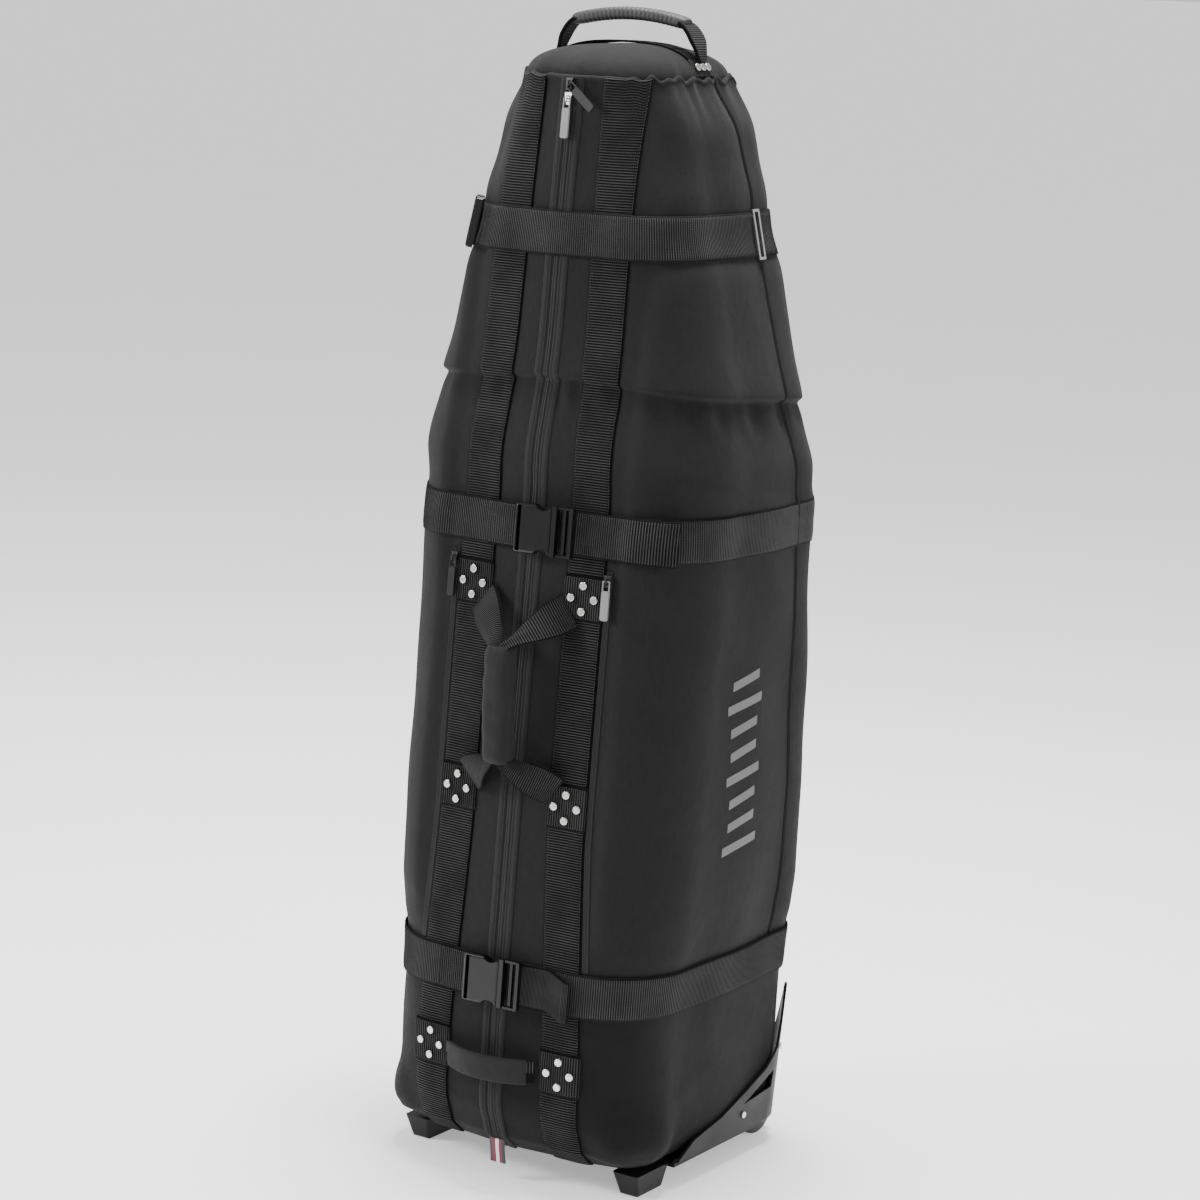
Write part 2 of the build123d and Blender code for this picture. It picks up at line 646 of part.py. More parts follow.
def pull_plane(name):
    """Plane of a pull: its pin line is local X, inside its slider's bridge."""
    plane = slider_spots()[name.replace("pull", "slider")]
    origin = plane.origin + plane.z_dir * (SLIDER_H / 2 + 1.4)
    across = plane.x_dir
    if name == "end_pull":
        across = across.rotate(Axis((0, 0, 0), plane.z_dir), END_PULL_TURN)
    return Plane(origin=origin, x_dir=across, z_dir=plane.z_dir)


def pull(plane):
    """Pull: a wire link through the bridge and a moulded tab, lying along the bag."""
    wire, half = PULL_WIRE / 2, PULL_W / 2
    link = Rot(0, 90, 0) * Cylinder(wire, PULL_W - 1)
    for side in (1, -1):
        mid = side * (half - wire)
        link += span(mid - wire, mid + wire, -PULL_LINK - 1, wire, -wire, wire)
    grip = span(-half, half, -PULL_L, -PULL_LINK, -PULL_T / 2, PULL_T / 2)
    return plane.location * (link + fillet(grip.edges().filter_by(Axis.Z), 2.5))


# ---------------------------------------------------------------- handles
def haul_grip():
    """Padded wrap that gathers the haul handle's two loops."""
    low, high = HAUL_Z
    roll = Pos(0, HAUL_Y, (low + high) / 2) * Cylinder(GRIP_D / 2, high - low)
    roll = fillet(roll.edges(), 4)
    return roll - Pos(0, HAUL_Y, (low + high) / 2) * Box(22, 12, high - low + 2)


def haul_webbing():
    """Two webbing loops from the four patches, gathered inside the grip."""
    low, high = HAUL_Z
    parts = Pos(0, HAUL_Y, (low + high) / 2) * Box(21, 11, high - low + 24)
    for side in (1, -1):
        for z_patch, z_grip, lean in ((PATCHES[0][1], high + 10, 1), (PATCHES[1][1], low - 10, -1)):
            x = side * (STRIP_X_LOWER - PATCH / 2 + 1)
            y = front_y(x, z_patch, PATCH_LIFT + PATCH_T + RIVET_H)
            start = Plane(origin=(x, y - 3, z_patch), x_dir=(0, 0, 1), z_dir=(-side, -1, 0))
            end = Plane(origin=(side * 4, HAUL_Y, z_grip), x_dir=(0, 0, 1), z_dir=(-side, 0, 0))
            parts += loft([start * Rectangle(WEBBING - 8, 3), end * Rectangle(16, 9)], ruled=True)
    return parts


GRAB_END_X = STRIP_X_BASE - PATCH / 2 - 1.5


def grab_curve():
    """Points of the grab handle's bow in plan: ends at the patches, middle at its full reach."""
    y = front_y(GRAB_END_X, PATCHES[2][1], PATCH_LIFT + PATCH_T + GRAB_CLEAR)
    return [(-GRAB_END_X, y), (0, -GRAB_REACH + GRAB_T / 2), (GRAB_END_X, y)]


def grab_bow(half_x, height, thick):
    """Flat strap bowed outwards between the lower patches, between -half_x and half_x."""
    left, middle, right = grab_curve()
    spine = ThreePointArc(left, middle, right)
    z = PATCHES[2][1] - 2
    radius = spine.radius
    centre = spine.arc_center
    ring = Cylinder(radius + thick / 2, height) - Cylinder(radius - thick / 2, height + 2)
    ring = Pos(centre.X, centre.Y, z) * ring
    return ring & span(-half_x, half_x, -FAR, left[1] + 2, 0, FAR)


def grab_grip():
    """Padded sleeve of the grab handle."""
    sleeve = grab_bow(52, GRAB_H, GRAB_T)
    return sleeve - grab_bow(60, GRAB_H - 4, GRAB_T - 4)


def grab_webbing():
    """Webbing core of the grab handle, reaching to the patches."""
    return grab_bow(GRAB_END_X, GRAB_H - 4.6, GRAB_T - 4.6)


def top_foot_plane(along, lift):
    """Plane on the dome's right shoulder where the top handle is riveted."""
    x0, z0 = level_at(RIM)[0] - 1, RIM + 2
    x1, z1 = level_at(LEVELS[10][0])[0], LEVELS[10][0]
    slope = Vector(x0 - x1, 0, z0 - z1).normalized()
    out = Vector(-slope.Z, 0, slope.X)
    middle = Vector((x0 + x1) / 2, TOP_HANDLE_Y + along, (z0 + z1) / 2)
    return Plane(origin=middle + out * lift, x_dir=slope, z_dir=out)


def top_spine():
    """Line of the top handle: up one leg, over the arched grip and down the other."""
    grip_z = TOP_HANDLE_TOP - TOP_GRIP_D / 2
    foot_z = leg_foot_z()
    return [(-TOP_LEG_X, foot_z), (-TOP_GRIP_HALF, grip_z - TOP_GRIP_RISE), (0, grip_z),
            (TOP_GRIP_HALF, grip_z - TOP_GRIP_RISE), (TOP_LEG_X, foot_z)]


def leg_foot_z():
    """Height of the lower ends of the top handle's legs, just clear of the shoulders."""
    shoulder = top_foot_plane(0, 0)
    slope = shoulder.x_dir.Z / shoulder.x_dir.X
    return shoulder.origin.Z + (TOP_LEG_X - shoulder.origin.X) * slope + TOP_LEG_CLEAR


def leg_outline():
    """Side view of a leg of the top handle, rounded about the line that the handle swings on."""
    end = Pos(0, 0, top_hinge_z()) * Rot(0, 90, 0) * Cylinder(TOP_LEG_W / 2, FAR)
    return end + span(-FAR, FAR, -TOP_LEG_W / 2, TOP_LEG_W / 2, top_hinge_z(), TOP_HANDLE_TOP)


def top_hinge_z():
    """Height of the line that the top handle swings on."""
    return leg_foot_z() + TOP_LEG_W / 2


def top_handle_grip():
    """Rubbery padded grip of the top handle, a gentle arch."""
    points = top_spine()
    arch = ThreePointArc(*[(x, TOP_HANDLE_Y, z) for x, z in points[1:4]])
    bar = sweep(Plane(origin=arch @ 0, z_dir=arch % 0) * Circle(TOP_GRIP_D / 2), path=arch)
    core = sweep(Plane(origin=arch @ 0, z_dir=arch % 0, x_dir=(0, 1, 0)) * Rectangle(13, 4.6), path=arch)
    return bar - core


def top_handle_webbing():
    """Webbing of the top handle: a core through the grip and a leg down to each foot."""
    points = top_spine()
    arch = ThreePointArc(*[(x, TOP_HANDLE_Y, z) for x, z in points[1:4]])
    part = sweep(Plane(origin=arch @ 0, z_dir=arch % 0, x_dir=(0, 1, 0)) * Rectangle(12.4, 3.6), path=arch)
    for side, end, ahead in ((1, arch @ 1, arch % 1), (-1, arch @ 0, (arch % 0) * -1)):
        tip = end + ahead * 6
        start = end + ahead * 0.4
        knee = (side * (TOP_LEG_X - 1), tip.Z - 7)
        foot_x, foot_z = side * TOP_LEG_X, points[0][1]
        leg = make_face(Polyline((start.X, 0, start.Z + 1.8), (tip.X, 0, tip.Z + 1.8),
                                 (knee[0] + side * 1.5, 0, knee[1]), (foot_x + side * 1.5, 0, foot_z),
                                 (foot_x - side * 1.5, 0, foot_z), (knee[0] - side * 2.5, 0, knee[1] - 2),
                                 (tip.X, 0, tip.Z - 1.8), (start.X, 0, start.Z - 1.8), close=True))
        blade = extrude(leg, amount=TOP_LEG_W / 2, both=True, dir=(0, 1, 0))
        part += Pos(0, TOP_HANDLE_Y, 0) * (blade & leg_outline())
        part += Plane(origin=end - ahead * 1, z_dir=ahead, x_dir=(0, 1, 0)).location * Box(12.4, 3.6, 4)
    return part


# ---------------------------------------------------------------- build and write
def build():
    """All the nodes of the case, in the bag's own frame."""
    spots = slider_spots()
    nodes = {
        "base_tray": base_tray(),
        "base_board": base_board(),
        "lower_left_panel": panel(TRAY_TOP + SEAM_GAP, WAIST, -1),
        "lower_right_panel": panel(TRAY_TOP + SEAM_GAP, WAIST, 1),
        "lower_back_panel": back_panel(TRAY_TOP + SEAM_GAP, WAIST),
        "upper_left_panel": panel(WAIST + SEAM_GAP, RIM, -1),
        "upper_right_panel": panel(WAIST + SEAM_GAP, RIM, 1),
        "upper_back_panel": back_panel(WAIST + SEAM_GAP, RIM),
        "top_cap": top_cap(),
        "top_pad": top_pad(),
        "inner_strap": inner_strap(),
        "main_zip_tapes": main_zip(ZIP_TAPE_W, SKIN_GAP, SKIN_GAP + ZIP_TAPE_T)
        - main_zip(ZIP_COIL_W + 0.6, 0, ZIP_COIL_T),
        "main_zip_coil": main_zip(ZIP_COIL_W, SKIN_GAP, ZIP_COIL_T),
        "pocket_zips": pocket_zips(),
        "webbing_strips": webbing_strips(),
        "lower_band": band(LOWER_BAND_Z),
        "upper_band": band(UPPER_BAND_Z),
        "top_strap": band(TOP_STRAP_Z),
        "strap_ends": strap_ends(),
        "anchor_patches": anchor_patches(),
        "rivets": rivets(),
        "skid_screws": skid_screws(),
        "axle_pins": axle_pins(),
        "strap_ring": strap_ring(),
        "ribbon_tab": ribbon_tab(),
        "haul_grip": haul_grip(),
        "haul_webbing": haul_webbing(),
        "grab_grip": grab_grip(),
        "grab_webbing": grab_webbing(),
        "top_handle_grip": top_handle_grip(),
        "top_handle_webbing": top_handle_webbing(),
    }
    for name, side in (("left", -1), ("right", 1)):
        nodes[f"skid_{name}"] = skid(side)
        nodes[f"tyre_{name}"] = tyre(side)
        nodes[f"wheel_hub_{name}"] = hub(side)
        nodes[f"bearings_{name}"] = bearings(side)
    for name, plane in BUCKLES.items():
        nodes[f"{name}_buckle_socket"] = socket(plane)
        nodes[f"{name}_buckle_plug"] = plug(plane)
        nodes[f"{name}_prong_high"] = prong(plane, 1)
        nodes[f"{name}_prong_low"] = prong(plane, -1)
    for name, plane in spots.items():
        nodes[name] = slider(plane)
        pull_name = name.replace("slider", "pull")
        nodes[pull_name] = pull(pull_plane(pull_name))
    return nodes


if __name__ == "__main__":
    os.makedirs("parts", exist_ok=True)
    for name, part in build().items():
        export_step(Pos(0, Y_SHIFT, 0) * part, f"parts/{name}.step")
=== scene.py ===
# %% [markdown]
# # A golf travel case
# The real case is a tall padded bag, sewn from woven polyester, with webbing straps, moulded skids
# and wheels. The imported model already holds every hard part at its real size: buckles, wheels,
# skids, rivets, zip sliders. They stay as they are and only get finishes here. Everything that is
# cloth, webbing or padding is modelled again in this file, over the space its plain solid holds.

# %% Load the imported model
import json
import math

import bpy
import numpy as np
from mathutils import Matrix, Vector


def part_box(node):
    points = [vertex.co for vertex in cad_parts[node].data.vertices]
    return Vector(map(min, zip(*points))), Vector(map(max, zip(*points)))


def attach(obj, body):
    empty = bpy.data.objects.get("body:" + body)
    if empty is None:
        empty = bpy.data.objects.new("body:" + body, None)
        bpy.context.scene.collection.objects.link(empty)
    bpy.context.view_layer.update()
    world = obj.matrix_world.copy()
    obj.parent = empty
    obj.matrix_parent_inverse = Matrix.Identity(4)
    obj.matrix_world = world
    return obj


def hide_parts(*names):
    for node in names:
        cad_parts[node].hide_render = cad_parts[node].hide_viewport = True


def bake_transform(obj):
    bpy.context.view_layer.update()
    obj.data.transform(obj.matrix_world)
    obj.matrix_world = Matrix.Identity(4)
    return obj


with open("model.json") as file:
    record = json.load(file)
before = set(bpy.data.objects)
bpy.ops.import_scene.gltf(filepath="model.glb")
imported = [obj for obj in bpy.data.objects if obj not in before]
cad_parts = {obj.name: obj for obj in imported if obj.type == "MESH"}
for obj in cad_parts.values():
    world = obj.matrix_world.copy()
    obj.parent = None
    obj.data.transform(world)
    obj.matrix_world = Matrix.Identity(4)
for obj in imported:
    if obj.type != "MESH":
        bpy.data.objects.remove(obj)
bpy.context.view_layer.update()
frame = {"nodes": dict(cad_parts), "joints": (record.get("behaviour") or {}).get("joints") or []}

MM = 0.001
JOINTS = {joint["name"]: joint for joint in frame["joints"]}
NODES = frame["nodes"]

# %% [markdown]
# ## The bag as one smooth surface
# A bag like this could be sculpted, but its zip, straps and patches all have to lie exactly on the
# cloth. So the bag is first written down as a function: a place round the bag and a height go in,
# a point on the cloth comes out. Sizes below are millimetres in the bag's own frame, X across,
# -Y towards the zipped front, and `SHIFT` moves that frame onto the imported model.

# %% The outline at each level
SHIFT = JOINTS["top_handle_swing"]["pos_m"][1] - 22 * MM
# height, half width, reach to the front, reach to the back, front and back corner radius
LEVELS = np.array([
    (27, 150, 126, 152, 62, 40), (34, 160, 148, 157, 70, 44), (52, 170, 168, 162, 80, 46),
    (90, 176, 182, 165, 88, 48), (196, 179, 178, 171, 90, 48), (434, 186, 160, 180, 92, 50),
    (735, 190, 134, 163, 92, 50), (884, 178, 117, 139, 88, 48), (1080, 133, 99, 133, 68, 46),
    (1207, 98, 86, 110, 60, 42),
], float)
CROWN_FRONT, CROWN_SIDE, CROWN_BACK = 6.0, 4.0, 3.0
BOTTOM, SOLE, WAIST, RIM, DOME_TOP = 27.0, 34.0, 728.0, 1207.0, 1243.0
BLUR = 14.0
WEB = 48.0


def placed(point):
    """Turn millimetres in the bag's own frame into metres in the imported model's frame."""
    return (point + [0, SHIFT / MM, 0]) * MM


def middle_z(node):
    """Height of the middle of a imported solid, in millimetres."""
    low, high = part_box(node)
    return float(round((low[2] + high[2]) / 2 / MM))


LOWER_Z, UPPER_Z, TOP_Z = (middle_z(node) for node in ("lower_band", "upper_band", "top_strap"))
LOWER_SEAM = LOWER_Z + 2


def level(z):
    """Half width, front, back and corner radii at height z, with the steps between levels softened."""
    z = np.asarray(z, float)
    blur = BLUR * np.clip((z - 60) / 40, 0, 1)
    heights = LEVELS[:, 0]
    return [sum(np.interp(z + step * blur, heights, LEVELS[:, column]) for step in (-1, 0, 1)) / 3
            for column in range(1, 6)]


def lengths(z):
    """Lengths of the five stretches of half an outline: front, corner, side, corner, back."""
    half, front, back, r_front, r_back = level(z)
    side = half - CROWN_SIDE
    straight = front - CROWN_FRONT - r_front + back - CROWN_BACK - r_back
    return [side - r_front, math.pi / 2 * r_front, straight, math.pi / 2 * r_back, side - r_back]


def bare(s, z):
    """Point of the taut bag: s runs from -1 at the back, through 0 at the zip, round to 1."""
    s = (np.asarray(s, float) + 1) % 2 - 1
    half, front, back, r_front, r_back = level(z)
    parts = lengths(z)
    run = np.abs(s) * sum(parts)
    steps = []
    for part in parts:
        steps.append(np.clip(run, 0, part))
        run = run - part
    turn_f, turn_b = steps[1] / r_front, steps[3] / r_back
    x = steps[0] + r_front * np.sin(turn_f) - r_back * (1 - np.cos(turn_b)) - steps[4]
    y = CROWN_FRONT - front + r_front * (1 - np.cos(turn_f)) + steps[2] + r_back * np.sin(turn_b)
    y = y - CROWN_FRONT * (1 + np.cos(math.pi * steps[0] / parts[0])) / 2
    x = x + CROWN_SIDE * (1 - np.cos(2 * math.pi * steps[2] / parts[2])) / 2
    y = y + CROWN_BACK * (1 - np.cos(math.pi * steps[4] / parts[4])) / 2
    return np.stack([np.where(s < 0, -x, x), y, np.broadcast_to(z, x.shape)], -1)


def s_of_x(x, z):
    """Place round the bag of a point of its front, from how far across it is."""
    parts = lengths(z)
    r_front = level(z)[3]
    over = np.clip((np.abs(x) - parts[0]) / r_front, 0, 1)
    run = np.where(np.abs(x) <= parts[0], np.abs(x), parts[0] + r_front * np.arcsin(over))
    return np.sign(x) * run / sum(parts)


def s_of_y(y, z):
    """Place round the bag of a point of its right side or right back corner."""
    front, back, r_front, r_back = level(z)[1:]
    parts = lengths(z)
    from_front = y + front - CROWN_FRONT - r_front
    into = np.clip((y - (back - CROWN_BACK - r_back)) / r_back, 0, 1)
    run = parts[0] + parts[1] + np.minimum(from_front, parts[2]) + r_back * np.arcsin(into)
    return run / sum(parts)


print("waist half girth", round(float(sum(lengths(WAIST)))), "mm, straps at", LOWER_Z, UPPER_Z, TOP_Z)

# %% [markdown]
# ## How the cloth gives
# Packed cloth is never flat. Three things shape it here: slow swells where padding pushes it out,
# the fold above the waist where the top half hinges when the case is stored, and puckers where
# cloth is gathered into a seam. A cloth simulation would give some of this, but it would also pull
# the front away from its zip, rivets and buckles. So the give is a formula that fades to nothing
# wherever a hard part is fastened. The numbers come from a seeded generator, so every run matches.

# %% Swells, fold and puckers
RNG = np.random.default_rng(11)
SWELLS = [(RNG.normal(size=3), RNG.uniform(90, 300), RNG.uniform(0, 6.28)) for _ in range(16)]
PUCKERS = [(int(RNG.integers(12, 40)), RNG.uniform(0, 6.28)) for _ in range(6)]
PUFF, SHOULDER, RIM_WAVE = 7.0, 5.0, 4.0


def smooth(low, high, value):
    """Rise from 0 to 1 between low and high, gentle at both ends."""
    t = np.clip((value - low) / (high - low), 0, 1)
    return t * t * (3 - 2 * t)


def fold_height(angle):
    """Height of the fold round the bag: level in front, dropping towards the back."""
    drop = 17 * smooth(0.5, 1.9, np.abs(angle)) + 14 * np.exp(-((angle - 2.3) / 0.4) ** 2)
    return 887 - drop + 2.5 * np.sin(3 * angle + 1)


def gathers(angle):
    """Uneven ripple round the bag, from -1 to 1, that meets itself after a full turn."""
    return sum(np.sin(count * angle + phase) for count, phase in PUCKERS) / 3.2


def rim_wave(s):
    """How far the gathered top edge rises or drops, calm at the zip."""
    s = (s + 1) % 2 - 1
    return RIM_WAVE * gathers(math.pi * s) * smooth(0.02, 0.2, np.abs(s))


def give(point):
    """How far the cloth stands out from the taut bag, in millimetres."""
    x, y, z = point[..., 0], point[..., 1], point[..., 2]
    angle = np.arctan2(x, -y)
    front = smooth(126, 104, np.abs(x)) * smooth(-36, -66, y)
    calm = 1 - 0.86 * front
    slow = sum(np.sin(point @ (way / np.linalg.norm(way)) * 6.283 / length + phase)
               for way, length, phase in SWELLS) / 4
    d = z - fold_height(angle)
    ripple = gathers(angle + z * 0.0007)
    over = 3.6 * np.exp(-(d / 30) ** 2)
    under = -5.5 * np.exp(np.minimum(d, 0) / 20) + 6.5 * np.exp(-((d + 78) / 44) ** 2)
    under = under + 2.6 * ripple * np.exp(-((d + 14) / 20) ** 2)
    fold = under + (over - under) * (0.5 + 0.5 * np.tanh(d / 2.2))
    fold = fold * (1 - 0.2 * front) * smooth(738, 800, z)
    crush = 2.4 * np.exp(-((z - 772 - 26 * np.sin(2.2 * angle)) / 13) ** 2)
    crush = crush * smooth(0.7, 1.3, angle) * smooth(3.0, 2.5, angle)
    beside = np.exp(-((z - TOP_Z + 36) / 22) ** 2) + 0.8 * np.exp(-((z - TOP_Z - 42) / 22) ** 2)
    straps = 1.6 * beside + 2.2 * np.exp(-((z - LOWER_Z - 42) / 20) ** 2)
    rim = 1.5 * gathers(angle + 0.3) * smooth(1140, RIM, z) * (1 - 0.7 * front)
    puff = PUFF * smooth(LOWER_Z + 24, LOWER_Z + 90, z) * smooth(RIM + 10, RIM - 60, z)
    puff = puff * (1 - 0.85 * np.exp(-((z - TOP_Z) / 34) ** 2))
    puff = puff + SHOULDER * np.exp(-((z - RIM + 52) / 38) ** 2)
    return (slow * 1.5 + crush + rim + straps) * calm + fold + puff * (1 - front)


def cloth_point(s, z, lift=0.0, soft=1.0):
    """Point at height lift above the cloth, in metres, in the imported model's frame."""
    s, z = np.broadcast_arrays(np.asarray(s, float), np.asarray(z, float))
    z = z + rim_wave(s) * smooth(RIM - 60, RIM, z)
    point = bare(s, z)
    along = bare(s + 0.004, z) - bare(s - 0.004, z)
    up = bare(s, z + 3) - bare(s, z - 3)
    out = np.cross(along, up)
    out = out / np.linalg.norm(out, axis=-1, keepdims=True)
    point = point + out * (np.asarray(lift) + soft * give(point))[..., None]
    return placed(point)


def on_front(x, z, lift=0.0):
    """Point on the front of the bag, from how far across it is."""
    return cloth_point(s_of_x(x, z), z, lift)


step = float(give(bare(0.3, 900.0)) - give(bare(0.3, 882.0)))
print(f"fold stands {step:.1f} mm proud of the cloth under it")

# %% [markdown]
# ## Small helpers for modelling
# Every cloth piece starts as a grid primitive. Its points are then laid on the bag by a placing
# function, double points are merged, and a Solidify modifier gives the cloth its thickness. Each
# piece also gets a UV map in metres, so that weave and ribs come out at their real size.


# %% Selecting, adding and applying
def fresh(add, **settings):
    """Deselect everything, run an add operator and return the new object, named later."""
    bpy.ops.object.select_all(action="DESELECT")
    add(**settings)
    return bpy.context.active_object


def only(obj):
    """Make obj the only selected and the active object."""
    bpy.ops.object.select_all(action="DESELECT")
    obj.select_set(True)
    bpy.context.view_layer.objects.active = obj


def apply(obj, kind, **settings):
    """Add a modifier with its settings and apply it at once."""
    only(obj)
    modifier = obj.modifiers.new(kind.title(), kind)
    for name, value in settings.items():
        setattr(modifier, name, value)
    bpy.ops.object.modifier_apply(modifier=modifier.name)


def in_edit(obj, *steps):
    """Select the whole mesh in edit mode, run each operator in turn, and leave edit mode."""
    only(obj)
    bpy.ops.object.mode_set(mode="EDIT")
    bpy.ops.mesh.select_all(action="SELECT")
    for step, settings in steps:
        step(**settings)
    bpy.ops.object.mode_set(mode="OBJECT")


def points_of(obj):
    """The mesh's points as an array."""
    co = np.zeros(len(obj.data.vertices) * 3)
    obj.data.vertices.foreach_get("co", co)
    return co.reshape(-1, 3)


def set_points(obj, co):
    """Write an array back as the mesh's points."""
    obj.data.vertices.foreach_set("co", np.asarray(co, np.float32).ravel())
    obj.data.update()


def smoothed(obj, angle=50):
    """Smooth shading that keeps edges sharper than the angle."""
    only(obj)
    bpy.ops.object.shade_smooth_by_angle(angle=math.radians(angle))


def finish_mesh(obj, name, thick, angle=50):
    """Merge doubles, thicken inwards, smooth and name a piece."""
    in_edit(obj, (bpy.ops.mesh.remove_doubles, {"threshold": 1e-5}))
    if thick:
        apply(obj, "SOLIDIFY", thickness=thick * MM, offset=-1)
    smoothed(obj, angle)
    obj.name = obj.data.name = name
    return obj


def sheet_of(name, columns, rows, place, size, thick, angle=50):
    """Grid laid by place(u, v), both 0 to 1. size(u, v) gives the UV map, in metres."""
    obj = fresh(bpy.ops.mesh.primitive_grid_add, x_subdivisions=columns, y_subdivisions=rows, size=1)
    flat = points_of(obj) + 0.5
    u, v = flat[:, 0], flat[:, 1]
    corner = np.zeros(len(obj.data.loops), np.int32)
    obj.data.loops.foreach_get("vertex_index", corner)
    uv = np.stack(size(u, v), -1)[corner]
    obj.data.uv_layers[0].data.foreach_set("uv", uv.astype(np.float32).ravel())
    set_points(obj, place(u, v))
    return finish_mesh(obj, name, thick, angle)


def plain_size(width, length):
    """UV map of a plain piece of width by length metres."""
    return lambda u, v: (u * width, v * length)


def web_size(length, turned=False):
    """UV map of webbing: U is the distance from its middle line, V runs along it."""
    if turned:
        return lambda u, v: ((v - 0.5) * WEB * MM, u * length)
    return lambda u, v: ((u - 0.5) * WEB * MM, v * length)


def joined(name, pieces):
    """Join several meshes into one piece."""
    bpy.ops.object.select_all(action="DESELECT")
    for piece in pieces:
        piece.select_set(True)
    bpy.context.view_layer.objects.active = pieces[0]
    bpy.ops.object.join()
    pieces[0].name = pieces[0].data.name = name
    return pieces[0]


def fasten(obj, body, slot, material, *nodes):
    """Give a finished piece its material and its body, and hide the solids it stands for. The slot is not
    used.
    """
    obj.data.materials.clear()
    obj.data.materials.append(material)
    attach(obj, body)
    if nodes:
        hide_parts(*nodes)
    print(f"{obj.name}: {len(obj.data.polygons)} faces on {body}")
    return obj


# %% [markdown]
# ## Finishes
# Black cloth, black webbing and black plastic differ in how they catch light, far more than in
# colour. So each finish is built from what the real surface is: crossed threads, ribs, a moulded
# grain. All patterns read either the UV map in metres or object coordinates, so they keep their
# real scale and never slide when a piece moves.


# %% A short way to write node trees
class Finish:
    """A material with its Principled shader and short calls that add linked nodes."""

    def __init__(self, name, colour, roughness, **sockets):
        self.material = bpy.data.materials.new(name)
        self.material.use_nodes = True
        self.tree = self.material.node_tree
        self.shader = self.tree.nodes["Principled BSDF"]
        self.shader.inputs["Base Color"].default_value = (*colour, 1)
        self.shader.inputs["Roughness"].default_value = roughness
        for socket, value in sockets.items():
            self.shader.inputs[socket.replace("_", " ")].default_value = value
        self.material.diffuse_color = (*colour, 1)

    def add(self, kind, inputs=(), **settings):
        """Add a node, set its options, and fill its inputs with values or other nodes' outputs."""
        node = self.tree.nodes.new(kind)
        for name, value in settings.items():
            setattr(node, name, value)
        for key, value in dict(inputs).items():
            if isinstance(value, bpy.types.NodeSocket):
                self.tree.links.new(value, node.inputs[key])
            else:
                node.inputs[key].default_value = value
        return node

    def math(self, operation, a, b=0.0):
        return self.add("ShaderNodeMath", {0: a, 1: b}, operation=operation).outputs[0]

    def total(self, *shares):
        """Sum of values, each times its weight."""
        parts = [self.math("MULTIPLY", value, weight) for value, weight in shares]
        result = parts[0]
        for part in parts[1:]:
            result = self.math("ADD", result, part)
        return result

    def where(self, kind="Object"):
        return self.add("ShaderNodeTexCoord").outputs[kind]

    def noise(self, vector, scale, detail=3.0, roughness=0.55):
        inputs = {"Vector": vector, "Scale": scale, "Detail": detail, "Roughness": roughness}
        return self.add("ShaderNodeTexNoise", inputs).outputs[0]

    def drawn(self, vector, z_scale):
        """Coordinates with z scaled, so that a pattern is drawn out or squeezed up the case."""
        return self.add("ShaderNodeMapping", {"Vector": vector, "Scale": (1, 1, z_scale)}).outputs[0]

    def ramp(self, value, low, high, dark, light):
        """Colour that goes from dark to light as value goes from low to high."""
        node = self.add("ShaderNodeMapRange", {0: value, 1: low, 2: high})
        mix = self.add("ShaderNodeMix", {0: node.outputs[0]}, data_type="RGBA")
        mix.inputs[6].default_value = (*dark, 1)
        mix.inputs[7].default_value = (*light, 1)
        return mix.outputs[2]

    def span(self, value, low, high, start, end):
        """Number that goes from start to end as value goes from low to high."""
        return self.add("ShaderNodeMapRange", {0: value, 1: low, 2: high, 3: start, 4: end}).outputs[0]

    def set(self, socket, output):
        self.tree.links.new(output, self.shader.inputs[socket])

    def bump(self, height, distance, strength=1.0, under=None):
        inputs = {"Height": height, "Distance": distance, "Strength": strength}
        if under is not None:
            inputs["Normal"] = under
        return self.add("ShaderNodeBump", inputs).outputs[0]


def grey(value, warm=0.0):
    """A grey as linear colour, a touch warm or cool."""
    return (value * (1 + warm), value, value * (1 - warm))


print("finish helper ready")


# %% [markdown]
# ### Woven cloth and webbing
# Polyester cloth is a plain weave: every crossing lifts one thread over another. The product of
# two sine waves is the simplest picture of that. Webbing is woven much tighter, in ribs that run
# across it, so its sine runs along its length and only the selvedge at each edge is plain. The
# webbing's colour also carries painted light: the rib crests are painted lighter as highlights, and
# the grooves and edges are painted dark as shade, a painted shadow line between strap and cloth.


# %% Cloth finishes
def woven(name, dark, light, pitch, depth, roughness=0.78, sheen=0.04):
    """Plain weave with a crossing every pitch metres, uneven dye and fine fluff."""
    finish = Finish(name, light, roughness, Sheen_Weight=sheen, Sheen_Roughness=0.45,
                    Specular_IOR_Level=0.13)
    uv = finish.add("ShaderNodeSeparateXYZ", {0: finish.where("UV")})
    turns = 2 * math.pi / (2 * pitch)
    warp = finish.math("SINE", finish.math("MULTIPLY", uv.outputs[0], turns))
    weft = finish.math("SINE", finish.math("MULTIPLY", uv.outputs[1], turns))
    crossing = finish.math("MULTIPLY", warp, weft)
    place = finish.where()
    grain = finish.noise(place, 900, 2)
    slow = finish.noise(place, 14, 4)
    streak = finish.noise(finish.drawn(place, 0.14), 480, 3, 0.7)
    height = finish.total((crossing, 1), (grain, 1.4))
    shade = finish.total((slow, 0.7), (grain, 0.4), (streak, 0.6), (crossing, 0.12))
    finish.set("Base Color", finish.ramp(shade, 0.55, 1.15, dark, light))
    finish.set("Roughness", finish.span(slow, 0.3, 0.7, roughness - 0.06, roughness + 0.08))
    crease = finish.bump(finish.noise(place, 15, 3), 0.007, 0.5)
    wave = finish.bump(finish.noise(place, 75, 4), 0.0014, 0.6, crease)
    finish.set("Normal", finish.bump(height, depth, 0.8, wave))
    return finish.material


